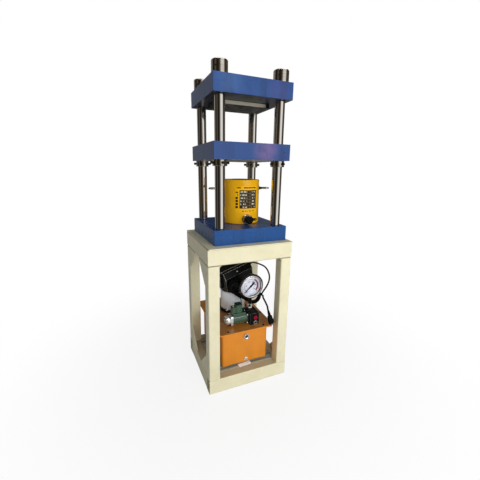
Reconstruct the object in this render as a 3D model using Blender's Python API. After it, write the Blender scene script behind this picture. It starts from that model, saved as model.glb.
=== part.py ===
"""Hydraulic press: a four column head on a welded stand, with its electric power pack below.

Metres, +Z up, front along -Y. The origin is on the floor, below the middle of the whole press.
"""

import math

import bmesh
import bpy
from mathutils import Matrix, Vector

for leftover in list(bpy.data.objects):
    bpy.data.objects.remove(leftover, do_unlink=True)

# Clearances
SEAT_GAP = 0.0003
SLIDE_GAP = 0.0004
CUT_OVERRUN = 0.004
THREAD_ENGAGEMENT = 0.010

# Facets
LARGE_SIDES = 32
ROUND_SIDES = 20
SMALL_SIDES = 12
SCREW_SIDES = 8
CORNER_STEPS = 3
SMOOTH_ANGLE = math.radians(40)

# Stand
STAND_WIDTH = 0.464
STAND_DEPTH = 0.450
TUBE_SIDE = 0.060
TUBE_WALL = 0.004
TUBE_CORNER = 0.006
RAIL_HEIGHT = 0.085
RAIL_DRAIN_DIAMETER = 0.010
LEG_HEIGHT = 0.641
TOP_FRAME_HEIGHT = 0.0844
TOP_FRAME_WALL = 0.005
TOP_FRAME_BEND = 0.009
STAND_PLATE_SIDE_RECESS = 0.003
STAND_PLATE_OVERHANG = 0.0115
STAND_PLATE_THICKNESS = 0.006
GUSSET_THICKNESS = 0.006
GUSSET_RECESS = 0.002
GUSSET_NOSE = 0.012
TOP_GUSSET_SIZE = 0.115
LOW_GUSSET_SIZE = 0.112
SHELF_THICKNESS = 0.004
SHELF_LAP = 0.010

# Head: three square plates on four columns
HEAD_X = 0.012
HEAD_Y = 0.010
COLUMN_TO_PLATE_EDGE = 0.045
BASE_PLATE_THICKNESS = 0.076
PLATEN_THICKNESS = 0.078
TOP_PLATE_THICKNESS = 0.0773
PLATE_CHAMFER = 0.002
PLATEN_HEIGHT = 0.3327
COLUMN_SPACING = 0.310
COLUMN_DIAMETER = 0.050
COLUMN_LENGTH = 0.6118
SPIGOT_DIAMETER = 0.040
SPIGOT_CHAMFER = 0.003
SHOULDER_CHAMFER = 0.0015
NUT_DIAMETER = 0.075
NUT_HEIGHT = 0.0564
NUT_CHAMFER = 0.004
NUT_RECESS = 0.006
TOMMY_HOLE_DIAMETER = 0.008
TOMMY_HOLE_DEPTH = 0.012
TOMMY_HOLES = 4
TOMMY_TURN = 45.0
COLLAR_DIAMETER = 0.070
COLLAR_HEIGHT = 0.030
COLLAR_SCREWS = 4
COLLAR_SCREW_HEAD_DIAMETER = 0.0125
COLLAR_SCREW_HEAD_HEIGHT = 0.012
COLLAR_TURNS = {(-1, -1): 2.0, (1, -1): 17.0, (1, 1): -30.0, (-1, 1): -23.0}

# Tooling plate between two rails under the top plate
TOOLING_Y = 0.010
TOOLING_WIDTH = 0.240
TOOLING_DEPTH = 0.170
TOOLING_THICKNESS = 0.018
TOOLING_RAIL = 0.019
TOOLING_CHAMFER = 0.001

# Jack
JACK_X = 0.025
JACK_Y = 0.015
JACK_TURN = -2.5
JACK_DIAMETER = 0.205
JACK_HEIGHT = 0.2361
JACK_CHAMFER = 0.004
JACK_BOTTOM = 0.030
JACK_BORE = 0.160
PISTON_HEIGHT = 0.0254
RAM_DIAMETER = 0.118
STOP_RING_DIAMETER = 0.176
STOP_RING_HEIGHT = 0.028
STOP_RING_RECESS = 0.002
SEAL_WIDTH = 0.007
SEAL_DEPTH = 0.004
SADDLE_DIAMETER = 0.100
SADDLE_HEIGHT = 0.012
SADDLE_RISE = 0.002
SADDLE_GROOVE = 0.0015
SADDLE_RING_SHARES = (0.72, 0.40)
COUPLER_HEIGHT = 0.0285
COUPLER_SEAT = 0.0012
COUPLER_SLEEVE_DIAMETER = 0.052
COUPLER_SLEEVE_LENGTH = 0.020
COUPLER_NOSE_DIAMETER = 0.034
COUPLER_NOSE_LENGTH = 0.018
COUPLER_SPIGOT_DIAMETER = 0.028
COUPLER_SPIGOT_LENGTH = 0.014
DUST_CAP_DIAMETER = 0.042
DUST_CAP_END = 0.004
DUST_CAP_TAB_LENGTH = 0.026
DUST_CAP_TAB_WIDTH = 0.014
DUST_CAP_TAB_THICKNESS = 0.003
DUST_CAP_TAB_HOLE = 0.005
EYE_HEIGHT = 0.187
EYE_SHANK_DIAMETER = 0.014
RIGHT_EYE_SHANK = 0.0265
LEFT_EYE_SHANK = 0.0385
EYE_RING_DIAMETER = 0.044
EYE_BAR = 0.011
EYE_NUT_DIAMETER = 0.024
EYE_NUT_TIP_DIAMETER = 0.016
EYE_NUT_HEIGHT = 0.014

# Tank and lid
TANK_FOOT_SIDE = 0.030
TANK_FOOT_HEIGHT = 0.0074
TANK_FOOT_INSET = 0.006
TANK_HEIGHT = 0.2127
TANK_WALL = 0.003
TANK_CORNER = 0.014
TANK_FLANGE_THICKNESS = 0.004
TANK_FLANGE_INSET = 0.0015
LID_LEFT_GAP = 0.007
LID_RIGHT_GAP = 0.003
LID_FRONT = -0.185
LID_DEPTH = 0.447
LID_LEFT_LIP = 0.028
LID_RIGHT_LIP = 0.026
LID_FRONT_LIP = 0.030
LID_BACK_LIP = 0.034
LID_THICKNESS = 0.006
LID_CORNER = 0.025
SIGHT_HEIGHT = 0.163
SIGHT_DIAMETER = 0.036
SIGHT_WINDOW_DIAMETER = 0.022
SIGHT_THICKNESS = 0.007
DRAIN_HEIGHT = 0.018
DRAIN_DIAMETER = 0.024
DRAIN_THICKNESS = 0.008
FITTING_X = 0.006
FITTING_SPIGOT_DIAMETER = 0.018
FITTING_SPIGOT_LENGTH = 0.007

# Motor
MOTOR_X = 0.024
MOTOR_Y = 0.104
MOTOR_FLANGE_DIAMETER = 0.176
MOTOR_FLANGE_HEIGHT = 0.014
MOTOR_DIAMETER = 0.156
MOTOR_HEIGHT = 0.118
MOTOR_RIM = 0.002
MOTOR_RIM_HEIGHT = 0.007
BELL_DIAMETER = 0.148
BELL_HEIGHT = 0.110
BELL_CHAMFER = 0.006

# Control box, leaning on the motor's end bell
BOX_X = -0.0607
BOX_Y = -0.0006
BOX_Z = 0.5501
BOX_TURN = (11.2, -13.1, 12.1)
BOX_WIDTH = 0.198
BOX_DROP = 0.0884
BOX_FRONT_LEAN = 0.0063
BOX_FACET_DEPTH = 0.0232
BOX_FACET_RISE = 0.0304
BOX_COVER_DEPTH = 0.045
BOX_BASE_DEPTH = 0.065
BOX_FLANGE = 0.013
BOX_EDGE = 0.003
GLAND_Y = 0.012
GLAND_DROP = 0.013
GLAND_NUT_DIAMETER = 0.024
GLAND_NUT_HEIGHT = 0.008
GLAND_DOME_DIAMETER = 0.018
GLAND_DOME_HEIGHT = 0.014

# Manifold and what is screwed into it
MANIFOLD_X = 0.064
MANIFOLD_Y = -0.099
MANIFOLD_WIDTH = 0.056
MANIFOLD_DEPTH = 0.088
MANIFOLD_HEIGHT = 0.0707
MANIFOLD_CHAMFER = 0.0015
RED_PLUG_X = 0.0044
RED_PLUG_HEIGHT = 0.0434
RED_PLUG_DIAMETER = 0.028
RED_PLUG_THICKNESS = 0.004
PORT_X = 0.0053
PORT_HEIGHT = 0.0125
PORT_DIAMETER = 0.0225
PORT_BORE = 0.012
PORT_THICKNESS = 0.004
PORT_SPIGOT_DIAMETER = 0.016
PORT_SPIGOT_LENGTH = 0.010

# Solenoid valve on the manifold's left face
SOLENOID_HEIGHT = 0.0347
SOLENOID_FLANGE_SIDE = 0.062
SOLENOID_FLANGE_THICKNESS = 0.008
SOLENOID_FLANGE_CORNER = 0.008
COIL_DIAMETER = 0.058
COIL_LENGTH = 0.088
COIL_RIBS = 16
COIL_RIB_HEIGHT = 0.0012
COIL_RIB_SHARES = (0.0, 0.12, 0.5, 0.62)
SADDLE_BLOCK_START = 0.010
SADDLE_BLOCK_LENGTH = 0.075
SADDLE_BLOCK_WIDTH = 0.045
SADDLE_BLOCK_HEIGHT = 0.012
TERMINAL_START = 0.038
TERMINAL_LENGTH = 0.038
TERMINAL_WIDTH = 0.038
TERMINAL_HEIGHT = 0.055
TERMINAL_STEP_LENGTH = 0.024
TERMINAL_STEP_WIDTH = 0.030
TERMINAL_STEP_HEIGHT = 0.042
TERMINAL_EDGE = 0.003
END_PLATE_SIDE = 0.060
END_PLATE_THICKNESS = 0.014
END_PLATE_CORNER = 0.012
END_BOSS_DIAMETER = 0.044
END_BOSS_LENGTH = 0.026
END_BOSS_CHAMFER = 0.004
LEAD_DIAMETER = 0.005
LEAD_ENTRY = 0.026
LEAD_SIDE = 0.019
LEAD_BOX_X = 0.030
LEAD_BOX_Y = 0.001

# Pressure gauge, facing the front
GAUGE_X = 0.0035
GAUGE_RISE = 0.1397
GAUGE_STEM_Y = 0.033
GAUGE_STEM_DEPTH = 0.024
GAUGE_DEPTH = 0.044
GAUGE_DIAMETER = 0.136
GAUGE_FLANGE_DIAMETER = 0.149
GAUGE_FLANGE_DEPTH = 0.009
GAUGE_BACK = 0.006
GAUGE_BACK_CHAMFER = 0.005
GAUGE_CAVITY_DIAMETER = 0.114
GAUGE_DIAL_DIAMETER = 0.124
GAUGE_DIAL_DEPTH = 0.012
GAUGE_DIAL_THICKNESS = 0.0012
GAUGE_GLASS_DIAMETER = 0.132
GAUGE_GLASS_THICKNESS = 0.003
GAUGE_BEZEL_DIAMETER = 0.143
GAUGE_BEZEL_HEIGHT = 0.006
GAUGE_WINDOW_DIAMETER = 0.120
GAUGE_BEZEL_CHAMFER = 0.003
GAUGE_POST_DIAMETER = 0.016
GAUGE_POST_GAP = 0.002
SPINDLE_DIAMETER = 0.004
SPINDLE_DEPTH = 0.012
DIAL_HOLE_DIAMETER = 0.007
POINTER_HUB_DIAMETER = 0.013
POINTER_THICKNESS = 0.0014
POINTER_LENGTH = 0.047
POINTER_TAIL = 0.026
POINTER_WIDTH = 0.006
POINTER_TIP_WIDTH = 0.0012
POINTER_TAIL_WIDTH = 0.009
POINTER_REST = 135.0
STEM_DIAMETER = 0.020
STEM_SPIGOT_DIAMETER = 0.016
STEM_HEX = 0.024
STEM_HEX_HEIGHT = 0.018
STEM_REACH = 0.006
GAUGE_SEAL_DIAMETER = 0.026
GAUGE_SEAL_HEIGHT = 0.007

# Power cord, its hank and its plug
CORD_DIAMETER = 0.009
CORD_SPACING = 0.022
LEAD_SPACING = 0.013
HANK_X = 0.051
HANK_Z = 0.4755
HANK_TILT = 35.5
HANK_LENGTH = 0.150
HANK_RADIUS = 0.044
HANK_HOLLOW = 0.018
HANK_THICKNESS = 0.020
HANK_ROUND = 0.006
CORD_IN_ANGLE = 25.0
CORD_OUT_ANGLE = 2.0
CORD_STUB = 0.014
PLUG_PLACE = (0.1335, -0.190, 0.384)
PLUG_LEAN = (-7.9, -13.7)
BOOT_LENGTH = 0.030
BOOT_TIP_DIAMETER = 0.011
BOOT_DIAMETER = 0.017
BOOT_RINGS = 4
BOOT_GROOVE = 0.0012
PLUG_LENGTH = 0.050
PLUG_WIDTH = 0.034
PLUG_THICKNESS = 0.022
PLUG_CORNER = 0.007
PLUG_WIDTH_SHARES = (0.62, 0.86, 0.86, 1.0, 1.0, 0.80)
PLUG_HEIGHT_SHARES = (0.0, 0.10, 0.34, 0.48, 0.82, 1.0)
PIN_WIDTH = 0.0063
PIN_THICKNESS = 0.0016
PIN_LENGTH = 0.019
PIN_SPACING = 0.0127
PIN_SEAT = 0.004

# Route of the power cord from the gland to the hank, and from the hank to the plug
CORD_ROUTE_IN = (
    (0.2080, 0.082, 0.5910),
    (0.2335, 0.062, 0.5746),
    (0.2440, 0.040, 0.5494),
    (0.2405, 0.018, 0.5246),
    (0.2253, 0.000, 0.4972),
    (0.2005, -0.014, 0.4720),
    (0.1780, -0.027, 0.4600),
)
CORD_ROUTE_OUT = (
    (0.1610, -0.050, 0.4390),
    (0.1460, -0.080, 0.4480),
    (0.1330, -0.112, 0.4540),
    (0.1265, -0.150, 0.4483),
    (0.1262, -0.176, 0.4322),
)
LEAD_ROUTE = (
    (0.0060, 0.012, 0.4430),
    (0.0240, -0.022, 0.4340),
    (0.0196, -0.045, 0.4259),
    (0.0140, -0.067, 0.4160),
)

# Sizes and places that follow from the ones above
SHELF_TOP = RAIL_HEIGHT + SEAT_GAP + SHELF_THICKNESS
LEG_BOTTOM = RAIL_HEIGHT + SEAT_GAP
LEG_TOP = LEG_BOTTOM + LEG_HEIGHT
FRAME_BOTTOM = LEG_TOP + SEAT_GAP
STAND_PLATE_BOTTOM = FRAME_BOTTOM + TOP_FRAME_HEIGHT + SEAT_GAP
HEAD_Z = STAND_PLATE_BOTTOM + STAND_PLATE_THICKNESS + SEAT_GAP
HEAD_SIDE = COLUMN_SPACING + 2 * COLUMN_TO_PLATE_EDGE
COLUMN_BOTTOM = BASE_PLATE_THICKNESS + SEAT_GAP
PLATEN_BOTTOM = BASE_PLATE_THICKNESS + PLATEN_HEIGHT
TOP_PLATE_BOTTOM = COLUMN_BOTTOM + COLUMN_LENGTH + SEAT_GAP
TOP_PLATE_TOP = TOP_PLATE_BOTTOM + TOP_PLATE_THICKNESS
TANK_BOTTOM = SHELF_TOP + SEAT_GAP + TANK_FOOT_HEIGHT
LID_BOTTOM = TANK_BOTTOM + TANK_HEIGHT + SEAT_GAP
LID_TOP = LID_BOTTOM + LID_THICKNESS
INNER_X = STAND_WIDTH / 2 - TUBE_SIDE
INNER_Y = STAND_DEPTH / 2 - TUBE_SIDE
STAND_PLATE_WIDTH = STAND_WIDTH - 2 * STAND_PLATE_SIDE_RECESS
STAND_PLATE_DEPTH = STAND_DEPTH + 2 * STAND_PLATE_OVERHANG
LID_WIDTH = 2 * INNER_X - LID_LEFT_GAP - LID_RIGHT_GAP
LID_X = (LID_LEFT_GAP - LID_RIGHT_GAP) / 2
LID_Y = LID_FRONT + LID_DEPTH / 2
TANK_WIDTH = LID_WIDTH - LID_LEFT_LIP - LID_RIGHT_LIP
TANK_DEPTH = LID_DEPTH - LID_FRONT_LIP - LID_BACK_LIP
TANK_X = LID_X + (LID_LEFT_LIP - LID_RIGHT_LIP) / 2
TANK_Y = LID_Y + (LID_FRONT_LIP - LID_BACK_LIP) / 2
SHIFT_Y = (STAND_PLATE_DEPTH / 2 - LID_FRONT - LID_DEPTH) / 2
CORNERS = ((-1, -1), (1, -1), (1, 1), (-1, 1))


# Shapes

def skin(rings, closed):
    """Join a run of equal rings of points; a closed run ends on its first ring."""
    bm = bmesh.new()
    loops = [[bm.verts.new(point) for point in ring] for ring in rings]
    pairs = list(zip(loops, loops[1:]))
    if closed:
        pairs.append((loops[-1], loops[0]))
    for lower, upper in pairs:
        for index in range(len(lower)):
            after = (index + 1) % len(lower)
            bm.faces.new((lower[index], lower[after], upper[after], upper[index]))
    if not closed:
        bm.faces.new(loops[0])
        bm.faces.new(loops[-1])
    bmesh.ops.recalc_face_normals(bm, faces=bm.faces)
    return bm


def block(low, high, bevel=0):
    """Box between two corners, with every edge chamfered when a bevel is given."""
    bm = bmesh.new()
    bmesh.ops.create_cube(bm, size=1)
    low = Vector(low)
    high = Vector(high)
    bmesh.ops.scale(bm, vec=high - low, verts=bm.verts)
    bmesh.ops.translate(bm, vec=(low + high) / 2, verts=bm.verts)
    if bevel:
        bmesh.ops.bevel(bm, geom=bm.edges[:], offset=bevel, segments=1, affect="EDGES")
    return bm


def prism(outline, low, high, axis="Z"):
    """Extrude a closed outline along an axis."""
    turn = {
        "X": lambda a, b, c: Vector((c, a, b)),
        "Y": lambda a, b, c: Vector((a, c, b)),
        "Z": lambda a, b, c: Vector((a, b, c)),
    }[axis]
    bm = bmesh.new()
    face = bm.faces.new([bm.verts.new(turn(a, b, low)) for a, b in outline])
    grown = bmesh.ops.extrude_face_region(bm, geom=[face])
    moved = [item for item in grown["geom"] if isinstance(item, bmesh.types.BMVert)]
    bmesh.ops.translate(bm, vec=turn(0, 0, high - low), verts=moved)
    bmesh.ops.recalc_face_normals(bm, faces=bm.faces)
    return bm


def turned(profile, sides):
    """Spin a profile of (radius, height) about Z; it closes on itself or at the axis."""
    bm = bmesh.new()
    verts = [bm.verts.new((radius, 0, height)) for radius, height in profile]
    edges = [bm.edges.new(pair) for pair in zip(verts, verts[1:])]
    if profile[0][0] or profile[-1][0]:
        edges.append(bm.edges.new((verts[-1], verts[0])))
    bmesh.ops.spin(
        bm, geom=verts + edges, cent=(0, 0, 0), axis=(0, 0, 1),
        angle=math.tau, steps=sides, use_merge=True,
    )
    bmesh.ops.remove_doubles(bm, verts=bm.verts, dist=SEAT_GAP / 100)
    bmesh.ops.recalc_face_normals(bm, faces=bm.faces)
    return bm


def cylinder(diameter, low, high, sides=SMALL_SIDES):
    """Plain round bar along Z."""
    return prism(circle(diameter, sides), low, high)


def circle(diameter, sides):
    """Round outline about the origin."""
    steps = [math.tau * index / sides for index in range(sides)]
    return [(diameter / 2 * math.cos(a), diameter / 2 * math.sin(a)) for a in steps]


def hexagon(across, sides):
    """Hexagon outline with as many points as a circle of the same number of sides."""
    points = []
    for index in range(sides):
        angle = math.tau * index / sides
        off = (angle + math.pi / 6) % (math.pi / 3) - math.pi / 6
        radius = across / 2 / math.cos(off)
        points.append((radius * math.cos(angle), radius * math.sin(angle)))
    return points


def rounded_rectangle(width, depth, corner, steps=CORNER_STEPS):
    """Rectangle outline about the origin with round corners."""
    points = []
    for index, (side_x, side_y) in enumerate(((1, 1), (-1, 1), (-1, -1), (1, -1))):
        middle_x = side_x * (width / 2 - corner)
        middle_y = side_y * (depth / 2 - corner)
        for step in range(steps + 1):
            angle = math.pi / 2 * (index + step / steps)
            points.append((middle_x + corner * math.cos(angle), middle_y + corner * math.sin(angle)))
    return points


def stadium(length, radius, steps=SCREW_SIDES):
    """Slot outline: two half circles joined by straight flanks."""
    points = []
    for side in (1, -1):
        for step in range(steps + 1):
            angle = math.pi * (step / steps - 1 / 2)
            points.append((side * (length / 2 + radius * math.cos(angle)), side * radius * math.sin(angle)))
    return points


def stacked(sections):
    """Solid through a stack of (outline, height) sections."""
    return skin([[(x, y, height) for x, y in outline] for outline, height in sections], False)


def square_tube(width, depth, wall, corner, low, high):
    """Open ended tube along Z."""
    outer = rounded_rectangle(width, depth, corner)
    inner = rounded_rectangle(width - 2 * wall, depth - 2 * wall, corner - wall / 2)
    rings = []
    for outline, height in ((outer, low), (outer, high), (inner, high), (inner, low)):
        rings.append([(x, y, height) for x, y in outline])
    return skin(rings, True)


def mitred_frame(profile, width, depth):
    """Run a closed profile of (inset, height) round a rectangle with mitred corners."""
    rings = []
    for inset, height in profile:
        rings.append([(x * (width / 2 - inset), y * (depth / 2 - inset), height) for x, y in CORNERS])
    return skin(rings, True)


def arc(middle_a, middle_b, radius, start, end, steps=CORNER_STEPS):
    """Points of an arc, angles in degrees."""
    points = []
    for step in range(steps + 1):
        angle = math.radians(start + (end - start) * step / steps)
        points.append((middle_a + radius * math.cos(angle), middle_b + radius * math.sin(angle)))
    return points


def placed(bm, x=0, y=0, z=0, turn=(0, 0, 0)):
    """Turn a shape (degrees about X, Y and Z in that order), then move it."""
    matrix = Matrix.Translation((x, y, z))
    for angle, axis in zip(reversed(turn), "ZYX"):
        matrix = matrix @ Matrix.Rotation(math.radians(angle), 4, axis)
    bm.transform(matrix)
    return bm


def gathered(shapes):
    """Put several separate shapes into one mesh."""
    whole = bmesh.new()
    for shape in shapes:
        scratch = bpy.data.meshes.new("scratch")
        shape.to_mesh(scratch)
        shape.free()
        whole.from_mesh(scratch)
        bpy.data.meshes.remove(scratch)
    return whole


def smooth_route(points, spacing):
    """Evenly spaced points on a smooth curve through the route; its two end stretches stay straight."""
    knots = [Vector(point) for point in points]
    fine = []
    for before, start, end, after in zip(knots, knots[1:], knots[2:], knots[3:]):
        for step in range(SMALL_SIDES):
            t = step / SMALL_SIDES
            pull = 2 * start + (end - before) * t
            pull += (2 * before - 5 * start + 4 * end - after) * t * t
            pull += (3 * start - before - 3 * end + after) * t * t * t
            fine.append(pull / 2)
    fine.append(knots[-2])
    lengths = [0]
    for start, end in zip(fine, fine[1:]):
        lengths.append(lengths[-1] + (end - start).length)
    count = max(2, round(lengths[-1] / spacing))
    route = [knots[0]]
    index = 0
    for step in range(count + 1):
        target = lengths[-1] * step / count
        while index < len(fine) - 2 and lengths[index + 1] < target:
            index += 1
        share = (target - lengths[index]) / (lengths[index + 1] - lengths[index])
        route.append(fine[index].lerp(fine[index + 1], share))
    return route + [knots[-1]]


# Objects

def material(name, color, roughness, metallic=0.0):
    look = bpy.data.materials.new(name)
    look.use_nodes = True
    look.diffuse_color = (*color, 1)
    shader = look.node_tree.nodes["Principled BSDF"]
    shader.inputs["Base Color"].default_value = (*color, 1)
    shader.inputs["Roughness"].default_value = roughness
    shader.inputs["Metallic"].default_value = metallic
    return look


def empty(name, parent, x=0, y=0, z=0, turn=(0, 0, 0)):
    """Frame that carries other objects; turn is in degrees."""
    holder = bpy.data.objects.new(name, None)
    bpy.context.scene.collection.objects.link(holder)
    holder.parent = parent
    holder.location = (x, y, z)
    holder.rotation_euler = [math.radians(angle) for angle in turn]
    return holder


def piece(name, parent, look, bm, smooth=False, spin=0):
    """Named object from a shape; a smooth one keeps its sharp edges."""
    mesh = bpy.data.meshes.new(name)
    bm.to_mesh(mesh)
    bm.free()
    if smooth:
        mesh.shade_smooth()
        mesh.set_sharp_from_angle(angle=SMOOTH_ANGLE)
    mesh.materials.append(look)
    obj = bpy.data.objects.new(name, mesh)
    bpy.context.scene.collection.objects.link(obj)
    obj.parent = parent
    obj.rotation_euler.z = math.radians(spin)
    return obj


def combine(obj, bm, operation):
    """Boolean another shape, given in the object's own frame, with the object."""
    tool = piece(f"{obj.name}_{operation.lower()}", obj, obj.data.materials[0], bm)
    tool.hide_render = True
    tool.display_type = "WIRE"
    boolean = obj.modifiers.new(operation.title(), "BOOLEAN")
    boolean.operation = operation
    boolean.object = tool
    return obj


def cut(obj, bm):
    return combine(obj, bm, "DIFFERENCE")


def join(obj, bm):
    return combine(obj, bm, "UNION")


def cord(name, parent, look, points, diameter, spacing):
    """Round cord along a smooth route."""
    route = smooth_route(points, spacing)
    curve = bpy.data.curves.new(name, "CURVE")
    curve.dimensions = "3D"
    curve.bevel_depth = diameter / 2
    curve.bevel_resolution = 2
    curve.use_fill_caps = True
    spline = curve.splines.new("POLY")
    spline.points.add(len(route) - 1)
    for target, point in zip(spline.points, route):
        target.co = (*point, 1)
    curve.materials.append(look)
    obj = bpy.data.objects.new(name, curve)
    bpy.context.scene.collection.objects.link(obj)
    obj.parent = parent
    return obj


CREAM = material("cream_paint", (0.80, 0.76, 0.60), 0.38)
BLUE = material("blue_paint", (0.07, 0.14, 0.42), 0.32)
STEEL = material("polished_steel", (0.62, 0.62, 0.62), 0.16, 1.0)
RAW = material("raw_steel", (0.34, 0.34, 0.33), 0.48, 1.0)
BLACK_OXIDE = material("black_oxide", (0.03, 0.03, 0.03), 0.42, 0.8)
BRONZE = material("bronze", (0.45, 0.28, 0.12), 0.35, 1.0)
YELLOW = material("yellow_paint", (0.70, 0.36, 0.01), 0.34)
ORANGE = material("orange_paint", (0.72, 0.28, 0.03), 0.38)
SILVER = material("cast_aluminium", (0.55, 0.57, 0.60), 0.34, 1.0)
GREEN = material("green_moulding", (0.04, 0.14, 0.08), 0.40)
BLACK = material("black_plastic", (0.012, 0.012, 0.014), 0.36)
RUBBER = material("black_rubber", (0.015, 0.015, 0.015), 0.62)
RED = material("red_plastic", (0.42, 0.02, 0.04), 0.35)
WHITE = material("white_enamel", (0.82, 0.82, 0.84), 0.45)
GLASS = material("clear_glass", (0.80, 0.84, 0.86), 0.06)


# Stand

def build_stand(root):
    rail_y = STAND_DEPTH / 2 - TUBE_SIDE / 2
    leg_x = STAND_WIDTH / 2 - TUBE_SIDE / 2
    middle = RAIL_HEIGHT / 2
    across = []
    along = []
    for side in (-1, 1):
        tube = square_tube(RAIL_HEIGHT, TUBE_SIDE, TUBE_WALL, TUBE_CORNER, -STAND_WIDTH / 2, STAND_WIDTH / 2)
        across.append(placed(tube, y=side * rail_y, z=middle, turn=(0, 90, 0)))
        reach = INNER_Y + TUBE_WALL / 2
        tube = square_tube(TUBE_SIDE, RAIL_HEIGHT, TUBE_WALL, TUBE_CORNER, -reach, reach)
        along.append(placed(tube, x=side * leg_x, z=middle, turn=(90, 0, 0)))
    rails = piece("stand_bottom_frame", root, CREAM, gathered(across), smooth=True)
    join(rails, gathered(along))
    drains = []
    for side in (-1, 1):
        drain = cylinder(RAIL_DRAIN_DIAMETER, -CUT_OVERRUN, TUBE_WALL + CUT_OVERRUN, SCREW_SIDES)
        drains.append(placed(drain, x=side * leg_x))
    cut(rails, gathered(drains))

    outer = STAND_WIDTH / 2 - GUSSET_RECESS
    for side_x, side_y in CORNERS:
        tube = square_tube(TUBE_SIDE, TUBE_SIDE, TUBE_WALL, TUBE_CORNER, LEG_BOTTOM, LEG_TOP)
        placed(tube, x=side_x * leg_x, y=side_y * rail_y)
        leg = piece(f"stand_leg_{corner_name((side_x, side_y))}", root, CREAM, tube, smooth=True)
        gussets = []
        for size, height, rise in (
            (TOP_GUSSET_SIZE, FRAME_BOTTOM - SEAT_GAP, -1),
            (LOW_GUSSET_SIZE, RAIL_HEIGHT + SEAT_GAP, 1),
        ):
            weld = TUBE_WALL / 2
            corner = [(-weld, 0), (size, 0), (size, GUSSET_NOSE), (GUSSET_NOSE, size), (-weld, size)]
            outline = [(side_y * (INNER_Y - step), height + rise * up) for step, up in corner]
            ends = sorted((side_x * outer, side_x * (outer - GUSSET_THICKNESS)))
            gussets.append(prism(outline, ends[0], ends[1], "X"))
        join(leg, gathered(gussets))

    bend = TOP_FRAME_BEND
    wall = TOP_FRAME_WALL
    channel = [(0, TOP_FRAME_HEIGHT)]
    channel += arc(bend, bend, bend, 180, 270)
    channel += arc(TUBE_SIDE - bend, bend, bend, 270, 360)
    channel += [(TUBE_SIDE, TOP_FRAME_HEIGHT), (TUBE_SIDE - wall, TOP_FRAME_HEIGHT)]
    channel += [(TUBE_SIDE - wall, bend), (TUBE_SIDE - bend, wall), (bend, wall), (wall, bend)]
    channel += [(wall, TOP_FRAME_HEIGHT)]
    frame = placed(mitred_frame(channel, STAND_WIDTH, STAND_DEPTH), z=FRAME_BOTTOM)
    piece("stand_upper_frame", root, CREAM, frame, smooth=True)

    low = (-STAND_PLATE_WIDTH / 2, -STAND_PLATE_DEPTH / 2, STAND_PLATE_BOTTOM)
    high = (STAND_PLATE_WIDTH / 2, STAND_PLATE_DEPTH / 2, STAND_PLATE_BOTTOM + STAND_PLATE_THICKNESS)
    piece("stand_top_plate", root, CREAM, block(low, high, STAND_PLATE_THICKNESS / 6))

    notch_x = INNER_X - SEAT_GAP
    notch_y = INNER_Y - SEAT_GAP
    edge_x = INNER_X + SHELF_LAP
    edge_y = INNER_Y + SHELF_LAP
    outline = shelf_outline(edge_x, edge_y, notch_x, notch_y)
    piece("stand_shelf", root, CREAM, prism(outline, RAIL_HEIGHT + SEAT_GAP, SHELF_TOP))


def shelf_outline(edge_x, edge_y, notch_x, notch_y):
    """Shelf outline with a square notch round each leg, counter-clockwise."""
    points = []
    for side_x, side_y in CORNERS:
        steps = [(edge_x, notch_y), (notch_x, notch_y), (notch_x, edge_y)]
        if side_x * side_y < 0:
            steps.reverse()
        points += [(side_x * x, side_y * y) for x, y in steps]
    return points


# Head

def corner_name(corner):
    return f"{'front' if corner[1] < 0 else 'back'}_{'left' if corner[0] < 0 else 'right'}"


def column_places():
    half = COLUMN_SPACING / 2
    return [(side_x * half, side_y * half) for side_x, side_y in CORNERS]


def bores(diameter, low, high, sides=ROUND_SIDES):
    """One round cutter at each column."""
    return gathered([placed(cylinder(diameter, low, high, sides), x, y) for x, y in column_places()])


def square_plate(thickness, low):
    half = HEAD_SIDE / 2
    return block((-half, -half, low), (half, half, low + thickness), PLATE_CHAMFER)


def build_head(root):
    head = empty("head", root, HEAD_X, HEAD_Y, HEAD_Z)
    spigot_bore = SPIGOT_DIAMETER + 2 * SEAT_GAP

    base = piece("base_plate", head, BLUE, square_plate(BASE_PLATE_THICKNESS, 0))
    cut(base, bores(spigot_bore, -CUT_OVERRUN, BASE_PLATE_THICKNESS + CUT_OVERRUN))

    top = piece("top_plate", head, BLUE, square_plate(TOP_PLATE_THICKNESS, TOP_PLATE_BOTTOM))
    cut(top, bores(spigot_bore, TOP_PLATE_BOTTOM - CUT_OVERRUN, TOP_PLATE_TOP + CUT_OVERRUN))

    platen = piece("moving_platen", head, BLUE, square_plate(PLATEN_THICKNESS, PLATEN_BOTTOM))
    low = PLATEN_BOTTOM - CUT_OVERRUN
    high = PLATEN_BOTTOM + PLATEN_THICKNESS + CUT_OVERRUN
    cut(platen, bores(COLUMN_DIAMETER + 2 * SLIDE_GAP, low, high))

    build_columns(head)
    build_nuts(head)
    build_tooling(head)
    return head


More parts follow.
